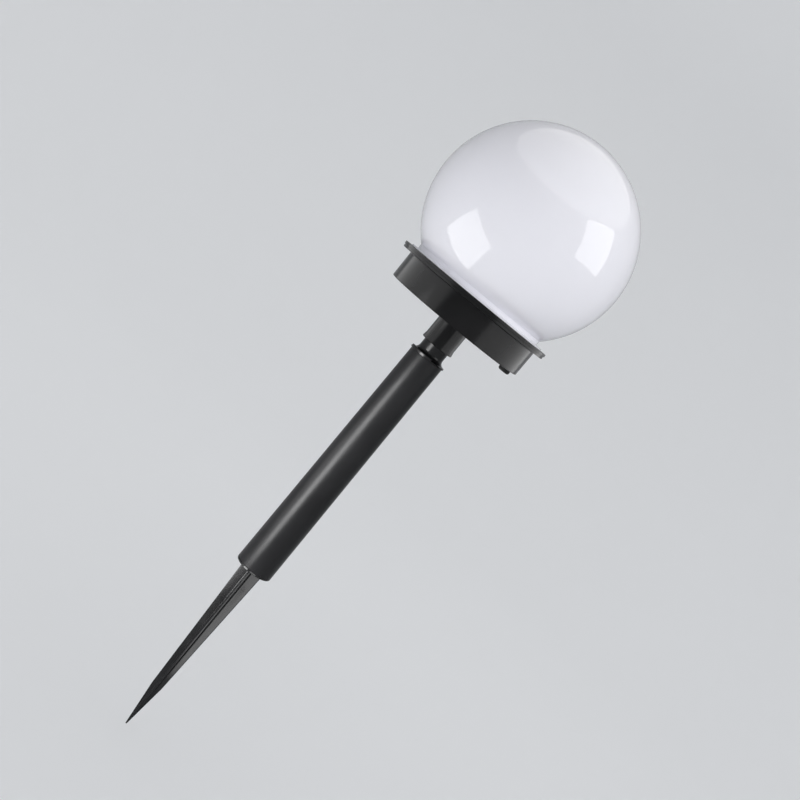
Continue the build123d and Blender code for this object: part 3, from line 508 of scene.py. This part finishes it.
def satin_plastic(name, base, grain=0.012, roughness=(0.3, 0.42), sheen=0.32, streaks=False):
    """Moulded satin plastic with a fine spark-eroded grain, or drawn streaks on an extruded tube."""
    s = Shader(name, base, 0.36)
    s.set("Specular IOR Level", sheen)
    s.tint(s.noise(22.0, 4.0), shaded(base, 0.85), shaded(base, 1.25))
    s.rough(s.noise(45.0, 5.0, roughness=0.6), *roughness)
    if streaks:
        s.bump(s.noise(420.0, 3.0, stretch=(1.0, 1.0, 0.02)), 0.012)
        s.bump(s.noise(26.0, 1.0, stretch=(1.0, 1.0, 0.12)), 0.05)
    s.bump(s.noise(2600.0, 2.0), grain)
    return s.material


def fine_satin(name, base):
    """Satin plastic of the cover and the drum, smoother than the tube's, with a weaker gloss."""
    return satin_plastic(name, base, grain=0.005, roughness=(0.16, 0.24), sheen=0.16)


def gloss_plastic(name, base):
    """Polished mould finish with faint flow marks and sink."""
    s = Shader(name, base, 0.16, ior=1.52)
    s.set("Specular IOR Level", 0.3)
    s.tint(s.noise(30.0, 3.0), shaded(base, 0.9), shaded(base, 1.2))
    s.rough(s.noise(80.0, 4.0), 0.12, 0.24)
    s.bump(s.noise(60.0, 2.0, stretch=(1.0, 1.0, 0.3)), 0.03)
    s.bump(s.noise(1500.0, 2.0), 0.003)
    return s.material


def rubber(name, base):
    s = Shader(name, base, 0.62, ior=1.45)
    s.tint(s.noise(120.0, 4.0), shaded(base, 0.8), shaded(base, 1.3))
    s.rough(s.noise(200.0, 3.0), 0.52, 0.72)
    s.bump(s.noise(3000.0, 3.0), 0.02)
    return s.material


def plain_metal(name, base, stretch=EVEN):
    s = Shader(name, base, 0.3, metallic=1.0)
    s.tint(s.noise(300.0, 3.0, stretch=stretch), shaded(base, 0.88), shaded(base, 1.06))
    s.rough(s.noise(700.0, 4.0, stretch=stretch), 0.22, 0.38)
    s.bump(s.noise(1800.0, 3.0, stretch=stretch), 0.003)
    return s.material


def circuit_board(name, base, copper):
    """Solder mask over tracks: a fine grid of raised runs and lighter pads."""
    s = Shader(name, base, 0.35)
    bricks = s.node("ShaderNodeTexBrick", {
        "Color1": (*base, 1.0), "Color2": (*shaded(base, 0.8), 1.0), "Mortar": (*copper, 1.0),
        "Scale": 180.0, "Mortar Size": 0.012, "Row Height": 0.6,
    }, {"Vector": s.mapping(EVEN)})
    s.link(bricks.outputs["Color"], "Base Color")
    s.rough(s.noise(400.0, 3.0), 0.28, 0.42)
    s.bump(bricks.outputs["Fac"], 0.03)
    return s.material


def silicon(base):
    """Solar cells: dark crystal patches crossed by thin silver fingers."""
    s = Shader("silicon", base, 0.18)
    crystals = s.node("ShaderNodeTexVoronoi", {"Scale": 260.0}, {"Vector": s.mapping((1.0, 1.0, 0.0))})
    fingers = s.node("ShaderNodeTexWave", {"Scale": 160.0}, {"Vector": s.mapping(EVEN)})
    fingers.bands_direction = "Y"
    crystal_tone = s.tint(crystals.outputs["Distance"], shaded(base, 0.7), shaded(base, 1.5), 0.1, 0.9)
    mix = s.nodes.new("ShaderNodeMix")
    mix.data_type = "RGBA"
    s.links.new(s.spread(fingers.outputs["Fac"], 0.0, 1.0, 0.94, 0.99), mix.inputs["Factor"])
    s.links.new(crystal_tone, mix.inputs["A"])
    mix.inputs["B"].default_value = (0.55, 0.56, 0.58, 1.0)
    s.link(mix.outputs["Result"], "Base Color")
    s.rough(crystals.outputs["Distance"], 0.14, 0.26)
    return s.material


def clear_resin(name, base, milky=0.0):
    s = Shader(name, base, 0.08)
    s.set("Transmission Weight", 0.95 - milky)
    s.rough(s.noise(300.0, 2.0), 0.05, 0.12 + milky * 0.4)
    s.bump(s.noise(60.0, 1.0), 0.03)
    return s.material


def cell_wrap(base, low, high):
    """Shrink wrap round a cell, bare steel at both ends."""
    s = Shader("cell_wrap", base, 0.25)
    steel = (0.62, 0.62, 0.62)
    stops = ((0.0, steel), (0.01, base), (0.78, shaded(base, 3.0)), (0.82, base), (0.965, steel))
    ramp = s.node("ShaderNodeValToRGB", {}, {"Fac": s.spread(s.along("X"), 0.0, 1.0, low, high)})
    ramp.color_ramp.interpolation = "CONSTANT"
    elements = ramp.color_ramp.elements
    elements[0].position = stops[0][0]
    elements[1].position = stops[1][0]
    for position, _ in stops[2:]:
        elements.new(position)
    for element, (_, tone) in zip(elements, stops):
        element.color = (*tone, 1.0)
    s.link(ramp.outputs["Color"], "Base Color")
    s.rough(s.noise(150.0, 3.0), 0.18, 0.32)
    s.bump(s.noise(40.0, 2.0, stretch=(0.2, 1.0, 1.0)), 0.04)
    return s.material


# ---- The pieces ----
class GLOBE_OT_shade(bpy.types.Operator):
    """Milky ball with its neck, lip, skirt and bayonet lugs"""

    bl_idname = "globe_light.shade"
    bl_label = "Globe"

    def execute(self, context):
        g = context.scene.globe_settings
        radius = (GLOBE[1][0] - GLOBE[0][0]) / 2
        centre = (0.0, GLOBE[1][2] - radius)
        inner = radius - g.wall
        neck_inner = g.neck_radius - g.neck_wall
        lip_foot = LIP_FOOT + 0.05 * MM
        lip_top = LIP_FOOT + g.lip_thickness
        skirt_foot = LIP_FOOT - g.skirt_depth
        skirt_inner = g.skirt_radius - g.skirt_wall
        outer_low = -math.degrees(math.acos(g.neck_radius / radius))
        inner_low = -math.degrees(math.acos(neck_inner / inner))
        throat = 0.9 * MM
        inner_throat = 1.0 * MM
        neck_edge = 0.4 * MM
        profile = arc(centre, radius, 90.0, outer_low, 60)
        profile += [
            (g.neck_radius, profile[-1][1] - throat), (g.neck_radius, lip_top + neck_edge),
            (g.neck_radius + neck_edge, lip_top), (g.lip_radius - EDGE, lip_top),
            (g.lip_radius, lip_top - EDGE), (g.lip_radius, lip_foot), (g.skirt_radius, lip_foot),
            (g.skirt_radius, skirt_foot + EDGE), (g.skirt_radius - EDGE, skirt_foot),
            (skirt_inner, skirt_foot), (skirt_inner, lip_top), (neck_inner, lip_top + inner_throat),
        ]
        profile += arc(centre, inner, inner_low, 90.0, 48)
        shell = lathe("globe_ball", [(0.0, profile[0][1])] + profile[1:-1] + [(0.0, profile[-1][1])])
        lug_count = 3
        lug_width = 14.0
        lug_steps = 8
        lug_root = g.skirt_radius - 0.5 * MM
        lug_tip = g.skirt_radius + g.lug_reach
        lug_top = skirt_foot + g.lug_height
        lug_edge = 0.15 * MM
        section = [(lug_root, skirt_foot), (lug_tip, skirt_foot), (lug_tip, lug_top), (lug_root, lug_top)]
        lugs = []
        for n in range(lug_count):
            start = math.degrees(g.locked_direction) + FULL_TURN / lug_count * n - lug_width / 2
            lugs.append(soften(lathe("lug", section, lug_steps, start, lug_width), lug_edge))
        pointer_size = (2.4 * MM, 1.6 * MM, 0.8 * MM)
        pointer_edge = 0.2 * MM
        pointer = bar("pointer", ((g.neck_radius + g.lip_radius) / 2, 0.0, lip_top), pointer_size)
        pointer.data.transform(Matrix.Rotation(g.locked_direction, 4, "Z"))
        ball = join(smooth(shell, 40.0), smooth(soften(pointer, pointer_edge)), *lugs)
        dress(ball, milky_plastic(g.milk, lip_top, GLOBE[1][2]), "globe", "milky_globe", "globe_shade")
        return {"FINISHED"}


class GLOBE_OT_cover(bpy.types.Operator):
    """Flange, bayonet channel and deck over the drum"""

    bl_idname = "globe_light.cover"
    bl_label = "Cover"

    def execute(self, context):
        h = context.scene.head_settings
        g = context.scene.globe_settings
        flange = (COVER[1][0] - COVER[0][0]) / 2
        top = COVER[1][2]
        foot = top - h.flange_thickness
        wall = 1.4 * MM
        play = 0.4 * MM
        deck = top - 0.7 * MM
        deck_foot = deck - 1.7 * MM
        deck_radius = g.skirt_radius - g.skirt_wall - play
        deck_inner = deck_radius - wall
        ledge = g.skirt_radius + play
        ledge_foot = top - 2.2 * MM
        channel = g.skirt_radius + g.lug_reach + play
        channel_floor = top - 4.6 * MM
        channel_foot = top - 6.0 * MM
        spigot = channel + wall
        seal_start = spigot + 1.0 * MM
        seal_end = spigot + 3.0 * MM
        profile = [
            (0.0, deck), (deck_radius - EDGE, deck), (deck_radius, deck - EDGE),
            (deck_radius, channel_floor), (channel, channel_floor), (channel, ledge_foot),
            (ledge, ledge_foot), (ledge, top - EDGE), (ledge + EDGE, top),
            *groove(seal_start, seal_end, top),
        ]
        profile += arc((flange - EDGE, top - EDGE), EDGE, 90.0, 0.0, 4)
        profile += arc((flange - EDGE, foot + EDGE), EDGE, 0.0, -90.0, 4)
        profile += [
            (spigot, foot), (spigot, channel_foot), (deck_inner, channel_foot), (deck_inner, deck_foot),
            (0.0, deck_foot),
        ]
        plate = lathe("flange_cover", profile)
        tray_half = 29.1 * MM
        pocket_half = 27.7 * MM
        tray_foot = deck - 3.75 * MM
        tray_top = deck - 0.65 * MM
        pocket_foot = deck - 2.3 * MM
        above = deck + 1.7 * MM
        weld(plate, slab("tray", 0.0, 0.0, tray_half, tray_half, tray_foot, tray_top))
        cut(plate, slab("pocket", 0.0, 0.0, pocket_half, pocket_half, pocket_foot, above))
        lamp_count = 4
        lamp_circle = (deck_inner + tray_half) / 2
        hole_radius = 2.8 * MM
        hole_foot = deck - 3.0 * MM
        hole_top = deck + 1.0 * MM
        for n in range(lamp_count):
            angle = math.radians(FULL_TURN / lamp_count * n)
            x = lamp_circle * math.cos(angle)
            y = lamp_circle * math.sin(angle)
            cut(plate, rod("lamp_hole", x, y, hole_foot, hole_top, hole_radius, 32))
        mark_size = (1.4 * MM, 3.0 * MM, 1.4 * MM)
        travel = math.radians(50.0)
        for direction in (g.locked_direction, g.locked_direction + travel):
            notch = bar("lock_mark", (flange, 0.0, top), mark_size)
            notch.data.transform(Matrix.Rotation(direction, 4, "Z"))
            cut(plate, notch)
        smooth(plate, 30.0)
        dress(plate, fine_satin("satin_cover", h.plastic), "head", "black_satin", "top_cover")
        return {"FINISHED"}


class GLOBE_OT_drum(bpy.types.Operator):
    """Drafted drum with its rim, socket boss, battery bay and screw posts"""

    bl_idname = "globe_light.drum"
    bl_label = "Drum"

    def execute(self, context):
        h = context.scene.head_settings
        rim = (DRUM[1][0] - DRUM[0][0]) / 2
        top = DRUM[1][2]
        mouth = DRUM[0][2]
        foot = mouth + h.boss_length
        floor = foot + h.drum_floor
        rim_foot = top - h.rim_thickness
        foot_round = h.edge_round
        socket_top = foot - 1.6 * MM
        bead = h.boss_radius + 0.5 * MM
        bead_top = mouth + 0.8 * MM
        taper_top = mouth + 4.0 * MM
        fillet = 1.0 * MM
        seal_start = h.drum_top_radius + 3.0 * MM
        seal_end = h.drum_top_radius + 1.0 * MM
        profile = [
            (0.0, socket_top), (h.socket_radius, socket_top), (h.socket_radius, mouth + EDGE),
            (h.socket_radius + EDGE, mouth), (bead - EDGE, mouth), (bead, mouth + EDGE), (bead, bead_top),
            (h.boss_radius, taper_top),
        ]
        for degrees in (0, 22, 45, 68, 90):
            angle = math.radians(degrees)
            out = fillet - fillet * math.cos(angle)
            profile.append((h.boss_radius + out, foot - fillet + fillet * math.sin(angle)))
        profile += arc((h.drum_foot_radius - foot_round, foot + foot_round), foot_round, -90.0, 0.0, 5)
        profile += [(h.drum_top_radius - EDGE, rim_foot - 2 * EDGE), (h.drum_top_radius + EDGE, rim_foot)]
        profile += arc((rim - EDGE, rim_foot + EDGE), EDGE, -90.0, 0.0, 4)
        profile += [
            (rim, top), *groove(seal_start, seal_end, top), (h.drum_top_radius - h.drum_wall, top),
            (h.drum_foot_radius - h.drum_wall, floor), (0.0, floor),
        ]
        shell = lathe("drum_housing", profile)
        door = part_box("battery_door")
        middle = (door[0][1] + door[1][1]) / 2
        ear = 4.0 * MM
        door_play = 0.15 * MM
        ear_x = door[1][0] - ear + door_play
        half_length = ear_x - 3.5 * MM
        half_width = (door[1][1] - door[0][1]) / 2 + door_play
        below = foot - 1.0 * MM
        root = floor - 0.5 * MM
        seat = foot + 2.2 * MM
        ledge = 1.6 * MM
        room = (half_length - ledge, half_width - ledge)
        bay_top = foot + 17.0 * MM
        bay_wall = 2.5 * MM
        bay_roof = 1.0 * MM
        frame_wall = 1.4 * MM

        def door_shape(name, bottom, upper, grow):
            """The door's outline with its two round ears, as a block between two heights."""
            body = slab(name, 0.0, middle, half_length + grow, half_width + grow, bottom, upper)
            for side in (1, -1):
                bridge = slab("ear_bridge", side * ear_x / 2, middle, ear_x / 2, ear + grow, bottom, upper)
                weld(body, bridge)
                weld(body, rod("ear", side * ear_x, middle, bottom, upper, ear + grow, 40))
            return body

        weld(shell, door_shape("door_frame", root, seat + frame_wall, frame_wall))
        weld(shell, slab(
            "bay", 0.0, middle, room[0] + bay_wall, room[1] + bay_wall, root, bay_top + bay_roof / 2))
        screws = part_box("housing_screws")
        head_radius = 2.7 * MM
        screw_x = screws[1][0] - head_radius
        screw_y = screws[1][1] - head_radius
        screw_places = [(x, y) for x in (screw_x, -screw_x) for y in (screw_y, -screw_y)]
        post_radius = 3.5 * MM
        post_top = foot + 11.0 * MM
        for x, y in screw_places:
            weld(shell, rod("post", x, y, root, post_top, post_radius, 40))
        cut(shell, door_shape("door_seat", below, seat, 0.0))
        cut(shell, slab("bay_room", 0.0, middle, room[0], room[1], below, bay_top - bay_roof))
        bore_radius = 3.0 * MM
        bore_top = foot + 5.0 * MM
        hole_radius = 1.75 * MM
        hole_top = foot + 12.0 * MM
        for x, y in screw_places:
            cut(shell, rod("counterbore", x, y, below, bore_top, bore_radius, 40))
            cut(shell, rod("screw_hole", x, y, foot, hole_top, hole_radius, 32))
        button_x = (BUTTON[0][0] + BUTTON[1][0]) / 2
        button_radius = 4.7 * MM
        above = floor + 1.0 * MM
        cut(shell, rod("button_hole", button_x, 0.0, below, above, button_radius, 64))
        smooth(shell, 30.0)
        dress(shell, fine_satin("satin_drum", h.plastic), "head", "black_satin", "base_drum")
        return {"FINISHED"}


class GLOBE_OT_button(bpy.types.Operator):
    """Rubber push button with its rounded face and inner flange"""

    bl_idname = "globe_light.button"
    bl_label = "Push button"

    def execute(self, context):
        bottom, top = BUTTON[0][2], BUTTON[1][2]
        x = (BUTTON[0][0] + BUTTON[1][0]) / 2
        flange = (BUTTON[1][0] - BUTTON[0][0]) / 2
        radius = flange - 1.0 * MM
        flange_foot = top - 1.0 * MM
        dish = 0.15 * MM
        flat = radius - 2.6 * MM
        face_round = 1.6 * MM
        bore = 1.8 * MM
        bore_end = bottom + 4.2 * MM
        profile = [(0.0, bottom + dish), (flat, bottom)]
        profile += arc((radius - face_round, bottom + face_round), face_round, -90.0, 0.0, 8)
        profile += [
            (radius, flange_foot), (flange, flange_foot), (flange, top), (bore, top), (bore, bore_end),
            (0.0, bore_end),
        ]
        cap = lathe("button_dome", profile, 64)
        cap.data.transform(Matrix.Translation((x, 0.0, 0.0)))
        smooth(cap, 35.0)
        dress(cap, rubber("button_rubber", (0.014, 0.014, 0.014)), "button", "black_rubber", "button_cap")
        return {"FINISHED"}


class GLOBE_OT_adapter(bpy.types.Operator):
    """Neck that the head turns on, with its flare, collar, tab and plug"""

    bl_idname = "globe_light.adapter"
    bl_label = "Pole adapter"

    def execute(self, context):
        p = context.scene.pole_settings
        tube_top = TUBE[1][2]
        top = ADAPTER[1][2]
        plug_foot = ADAPTER[0][2]
        collar = (ADAPTER[1][0] - ADAPTER[0][0]) / 2
        collar_top = tube_top + p.collar_thickness
        plug = p.tube_top_radius - p.tube_wall - PLAY
        plug_edge = 1.0 * MM
        wall = 1.9 * MM
        edge = 0.25 * MM
        top_edge = 0.6 * MM
        flare_centre = (p.neck_radius + p.flare, collar_top + p.flare)
        profile = [(0.0, top), (p.neck_radius - top_edge, top), (p.neck_radius, top - top_edge)]
        profile += arc(flare_centre, p.flare, 180.0, 270.0, 14)
        profile += [
            (collar - edge, collar_top), (collar, collar_top - edge), (collar, tube_top + edge / 2),
            (collar - edge / 2, tube_top), (plug, tube_top), (plug, plug_foot + plug_edge),
            (plug - plug_edge, plug_foot), (plug - wall, plug_foot), (plug - wall, tube_top - wall),
            (p.neck_radius - wall, tube_top), (p.neck_radius - wall, top - wall), (0.0, top - wall),
        ]
        body = lathe("neck_adapter", profile)
        tab_start = -73.0
        tab_sweep = 90.0
        tab_steps = 40
        tab_top = collar_top + p.tab_height
        tab_foot = collar_top - 0.5 * MM
        root = p.neck_radius - 0.5 * MM
        section = [(root, tab_foot), (collar, tab_foot), (collar, tab_top), (root, tab_top)]
        tab = soften(lathe("tab", section, tab_steps, tab_start, tab_sweep), edge)
        join(smooth(body), smooth(tab))
        dress(body, gloss_plastic("gloss_adapter", p.gloss_plastic), "adapter", "black_gloss", "pole_adapter")
        return {"FINISHED"}


class GLOBE_OT_tube(bpy.types.Operator):
    """Slim tapered tube with eased ends"""

    bl_idname = "globe_light.tube"
    bl_label = "Tube"

    def execute(self, context):
        p = context.scene.pole_settings
        foot, top = TUBE[0][2], TUBE[1][2]
        wall = p.tube_wall
        profile = arc((p.tube_foot_radius - EDGE, foot + EDGE), EDGE, -90.0, 0.0, 4)
        profile += arc((p.tube_top_radius - EDGE, top - EDGE), EDGE, 0.0, 90.0, 4)
        profile += [(p.tube_top_radius - wall, top), (p.tube_foot_radius - wall, foot)]
        tube = lathe("pole_sleeve", profile)
        smooth(tube, 40.0)
        material = satin_plastic(
            "satin_tube", p.plastic, grain=0.006, roughness=(0.3, 0.38), sheen=0.24, streaks=True)
        dress(tube, material, "pole", "black_satin", "pole_tube")
        return {"FINISHED"}


class GLOBE_OT_spike(bpy.types.Operator):
    """Ground spike: four round-edged blades, the collar and the ribbed tenon"""

    bl_idname = "globe_light.spike"
    bl_label = "Ground spike"

    def execute(self, context):
        s = context.scene.spike_settings
        p = context.scene.pole_settings
        tip = GROUND[0][2]
        half = s.blade_thickness / 2
        bend_z = tip + s.point_length
        flare_steps = 4
        levels = [(s.flare_reach, 0.0)]
        for n in range(1, flare_steps + 1):
            fall = n / flare_steps
            reach = s.top_reach + (s.flare_reach - s.top_reach) * (1 - fall) ** 2
            levels.append((reach, -s.flare_length * fall))
        levels.append((s.bend_reach, bend_z))
        tip_reach = 0.5 * MM
        margin = 0.1 * MM
        blunt = half + s.root_round + s.blade_round + margin
        share = (s.bend_reach - blunt) / (s.bend_reach - tip_reach)
        levels.append((blunt, bend_z - s.point_length * share))
        blades = cross_bar("spike_blades", levels, (tip_reach, tip))
        mark = rod("ejector_mark", 0.0, 0.0, -s.mark_depth, s.mark_depth, s.mark_radius, 32)
        lying = Matrix.Rotation(math.radians(90.0), 4, "X")
        mark.data.transform(Matrix.Translation((s.mark_offset, -half, -s.mark_drop)) @ lying)
        cut(blades, mark)
        edge = 0.25 * MM
        rim = p.tube_foot_radius
        collar_top = s.collar_thickness
        collar = lathe("collar", [
            (0.0, 0.0), (rim - edge, 0.0), (rim, edge), (rim, collar_top - edge), (rim - edge, collar_top),
            (0.0, collar_top),
        ])
        slope = (rim - p.tube_top_radius) / (TUBE[1][2] - TUBE[0][2])
        low = rim - p.tube_wall - PLAY
        high = low - slope * s.tenon_length
        overlap = 0.2 * MM
        tenon_edge = 0.8 * MM
        tenon_wall = 1.6 * MM
        tenon_foot = collar_top - overlap
        tenon_top = collar_top + s.tenon_length
        tenon = lathe("tenon", [
            (low, tenon_foot), (high, tenon_top - tenon_edge), (high - tenon_edge, tenon_top),
            (high - tenon_wall, tenon_top), (low - tenon_wall, tenon_foot),
        ])
        web_reach = high - tenon_wall / 2
        web_top = tenon_top - 2.0 * MM
        web = cross_bar("web", [(web_reach, tenon_foot), (web_reach, web_top)])
        for piece in (blades, collar, tenon, web):
            smooth(piece, 35.0)
        blades = join(blades, collar, tenon, web)
        dress(blades, gloss_plastic("gloss_spike", p.gloss_plastic), "spike", "black_gloss", "ground_spike")
        return {"FINISHED"}


class GLOBE_OT_inner(bpy.types.Operator):
    """Finishes of the seals, the panel, the cell, the boards and their screws"""

    bl_idname = "globe_light.inner"
    bl_label = "Inner pieces"

    def execute(self, context):
        h = context.scene.head_settings
        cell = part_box("battery_cell")
        finishes = (
            (rubber("seal_rubber", (0.02, 0.02, 0.021)), "globe_gasket", "housing_gasket"),
            (rubber("door_seal", (0.12, 0.12, 0.125)), "battery_door_seal"),
            (satin_plastic("satin_door", h.plastic), "battery_door"),
            (plain_metal("screw_steel", (0.55, 0.55, 0.56)), "battery_door_screws", "housing_screws",
             "led_board_screws", "control_board_screws", "switch_screws"),
            (circuit_board("green_board", (0.01, 0.09, 0.035), (0.03, 0.16, 0.07)),
             "solar_panel_board", "control_board"),
            (circuit_board("white_board", (0.8, 0.8, 0.77), (0.7, 0.7, 0.66)), "led_board"),
            (silicon((0.012, 0.018, 0.06)), "solar_cells"),
            (clear_resin("panel_resin", (0.95, 0.97, 0.98)), "solar_panel_resin"),
            (clear_resin("lamp_resin", (0.98, 0.95, 0.82), 0.5), "led_lamps"),
            (cell_wrap((0.01, 0.12, 0.05), cell[0][0], cell[1][0]), "battery_cell"),
            (plain_metal("contact_strip", (0.6, 0.58, 0.53), stretch=(1.0, 1.0, 0.1)),
             "battery_contact_positive", "battery_contact_spring"),
            (satin_plastic("chip_resin", (0.02, 0.02, 0.02)), "control_chip"),
            (satin_plastic("ferrite", (0.07, 0.065, 0.06)), "boost_coil"),
            (gloss_plastic("capacitor_sleeve", (0.02, 0.025, 0.1)), "smoothing_capacitor"),
            (satin_plastic("switch_nylon", (0.02, 0.02, 0.02)), "switch_body"),
            (satin_plastic("plunger_nylon", (0.7, 0.7, 0.66)), "switch_plunger"),
            (rubber("lead_red", (0.4, 0.01, 0.008)), "battery_leads"),
            (rubber("lead_red_thin", (0.4, 0.01, 0.008)), "led_leads"),
            (rubber("lead_yellow", (0.55, 0.36, 0.02)), "panel_leads"),
            (rubber("lead_yellow_thin", (0.55, 0.36, 0.02)), "switch_leads"),
        )
        for material, *nodes in finishes:
            for node in nodes:
                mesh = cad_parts[node].data
                for n in range(len(mesh.materials)):
                    mesh.materials[n] = material
                if not mesh.materials:
                    mesh.materials.append(material)
        return {"FINISHED"}


# ---- The studio ----
# The camera's place, its tilt up from straight down and its roll, as fitted to the photograph.
CAMERA_PLACE = (0.0323774, -0.762858, 0.250275)
CAMERA_TILT = math.radians(87.1)
CAMERA_ROLL = math.radians(39.6258748)


def soft_lamp(name, target, away, width, height, glow, turn=0.0):
    """An even lamp face of the given brightness, set off from its target and turned towards it."""
    lamp = bpy.data.lights.new(name, "AREA")
    lamp.shape = "RECTANGLE"
    lamp.size = width
    lamp.size_y = height
    lamp.energy = glow * math.pi * width * height
    holder = bpy.data.objects.new(name, lamp)
    bpy.context.scene.collection.objects.link(holder)
    facing = away.to_track_quat("Z", "Y").to_matrix().to_4x4() @ Matrix.Rotation(turn, 4, "Z")
    holder.matrix_world = Matrix.Translation(target + away) @ facing
    holder.visible_camera = False
    return holder


def choose_lit(holder, pieces, state):
    """Lets a lamp light only some pieces, or all but them, by the state INCLUDE or EXCLUDE."""
    chosen = bpy.data.collections.new(holder.name + "_pieces")
    for piece in pieces:
        chosen.objects.link(piece)
    for entry in chosen.collection_objects:
        entry.light_linking.link_state = state
    holder.light_linking.receiver_collection = chosen


class GLOBE_OT_stage(bpy.types.Operator):
    """Pale floor that runs up into a round backdrop, the lamps, even light from all round and the camera"""

    bl_idname = "globe_light.stage"
    bl_label = "Studio"

    def execute(self, context):
        t = context.scene.stage_settings
        scene = context.scene
        gap = 0.002
        floor_z = GROUND[0][2] - gap
        middle = 0.3
        reach = 2.4
        rise = 1.2
        height = 2.6
        profile = [(0.0, floor_z), (middle, floor_z), (reach - rise, floor_z)]
        profile += arc((reach - rise, floor_z + rise), rise, -80.0, 0.0, 12)
        profile += [(reach, floor_z + height)]
        floor = lathe("studio_floor", profile, 96, sheet=True)
        smooth(floor, 60.0)
        paper = Shader("backdrop_paper", t.floor, 0.9)
        paper.tint(paper.noise(3.0, 2.0), shaded(t.floor, 0.99), t.floor)
        paper.set("Emission Color", (*t.floor, 1.0))
        seen = paper.nodes.new("ShaderNodeLightPath")
        paper_light = paper.spread(seen.outputs["Is Camera Ray"], 0.0, t.paper_glow)
        paper.link(paper_light, "Emission Strength")
        floor.data.materials.clear()
        floor.data.materials.append(paper.material)

        globe = Vector((0.0, 0.0, GLOBE[1][2] - (GLOBE[1][0] - GLOBE[0][0]) / 2))
        facing = Matrix.Rotation(CAMERA_TILT, 3, "X") @ Matrix.Rotation(CAMERA_ROLL, 3, "Z")
        right, up, back = facing.col
        fill_distance = 1.2
        fill_angle = math.radians(50.0)
        # Name, direction along the picture's right, up and back, distance, width, glow and turn.
        boxes = (
            ("softbox_left", (-0.896, -0.141, 0.421), t.left_distance, t.left_angle, t.left_glow,
             t.left_turn),
            ("softbox_right", (0.907, -0.24, 0.342), t.right_distance, t.right_angle, t.right_glow, 0.0),
            ("fill", (0.1, -0.3, 0.95), fill_distance, fill_angle, t.fill_glow, 0.0),
            ("rear_fill", (0.03, 0.36, -0.94), fill_distance, fill_angle, t.rear_glow, 0.0),
        )
        for name, direction, distance, angle, glow, turn in boxes:
            away = right * direction[0] + up * direction[1] + back * direction[2]
            side = 2 * distance * math.tan(angle / 2)
            holder = soft_lamp(name, globe, away.normalized() * distance, side, side, glow, turn)
            holder.visible_glossy = "fill" not in name
            choose_lit(holder, [floor], "EXCLUDE")
        pole = Vector((0.0, 0.0, 0.03))
        spike = Vector((0.0, 0.0, -0.08))
        drum = Vector((0.0, 0.0, (DRUM[0][2] + DRUM[1][2]) / 2))
        on_pole = ("pole_sleeve", "neck_adapter", "spike_blades")
        on_drum = ("drum_housing", "flange_cover")
        # Name, target, degrees round from the front, distance, width, height, glow and what it lights.
        strips = (
            ("pole_strip", pole, -33.0, 0.3, 0.13, 0.33, t.strip_glow, on_pole),
            ("spike_panel", spike, 16.5, 0.1, 0.066, 0.12, t.front_glow, ("spike_blades",)),
            ("panel_left", drum, -79.0, 0.35, 0.8, 0.3, t.panel_glow, on_drum),
            ("panel_right", drum, 90.0, 0.35, 0.86, 0.3, t.panel_glow, on_drum),
        )
        for name, target, azimuth, distance, width, height, glow, pieces in strips:
            angle = math.radians(azimuth)
            away = Vector((math.sin(angle), -math.cos(angle), 0.0)) * distance
            holder = soft_lamp(name, target, away, width, height, glow)
            choose_lit(holder, [bpy.data.objects[piece] for piece in pieces], "INCLUDE")

        world = bpy.data.worlds.new("studio_air")
        world.use_nodes = True
        air = world.node_tree.nodes["Background"]
        air.inputs["Color"].default_value = (1.0, 1.0, 1.0, 1.0)
        air.inputs["Strength"].default_value = t.sky
        scene.world = world
        scene.view_settings.view_transform = "Standard"

        camera = bpy.data.cameras.new("camera")
        camera.lens = 50.0
        camera.sensor_width = 36.0
        camera.shift_x = -0.10375
        camera.shift_y = -0.045
        camera.clip_start = 0.01
        camera.clip_end = 20.0
        eye = bpy.data.objects.new("camera", camera)
        scene.collection.objects.link(eye)
        eye.matrix_world = Matrix.Translation(CAMERA_PLACE) @ facing.to_4x4()
        scene.camera = eye
        return {"FINISHED"}


class GLOBE_PT_panel(bpy.types.Panel):
    """Lists the pieces and their sizes"""

    bl_label = "Globe Light"
    bl_idname = "GLOBE_PT_panel"
    bl_space_type = "VIEW_3D"
    bl_region_type = "UI"
    bl_category = "Globe Light"

    def draw(self, context):
        layout = self.layout
        for piece in PIECES:
            layout.operator(piece.bl_idname)
        for name, _ in SETTINGS:
            box = layout.box()
            group = getattr(context.scene, name)
            for field in group.__annotations__:
                box.prop(group, field)


PIECES = (
    GLOBE_OT_shade, GLOBE_OT_cover, GLOBE_OT_drum, GLOBE_OT_button, GLOBE_OT_adapter, GLOBE_OT_tube,
    GLOBE_OT_spike, GLOBE_OT_inner, GLOBE_OT_stage,
)
SETTINGS = (
    ("globe_settings", GlobeSettings), ("head_settings", HeadSettings), ("pole_settings", PoleSettings),
    ("spike_settings", SpikeSettings), ("stage_settings", StageSettings),
)


def register():
    for name, group in SETTINGS:
        bpy.utils.register_class(group)
        setattr(bpy.types.Scene, name, PointerProperty(type=group))
    for piece in PIECES:
        bpy.utils.register_class(piece)
    bpy.utils.register_class(GLOBE_PT_panel)


def unregister():
    bpy.utils.unregister_class(GLOBE_PT_panel)
    for piece in reversed(PIECES):
        bpy.utils.unregister_class(piece)
    for name, group in reversed(SETTINGS):
        delattr(bpy.types.Scene, name)
        bpy.utils.unregister_class(group)


def main():
    register()
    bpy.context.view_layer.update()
    for piece in PIECES:
        group, name = piece.bl_idname.split(".")
        getattr(getattr(bpy.ops, group), name)()


if __name__ == "__main__":
    main()
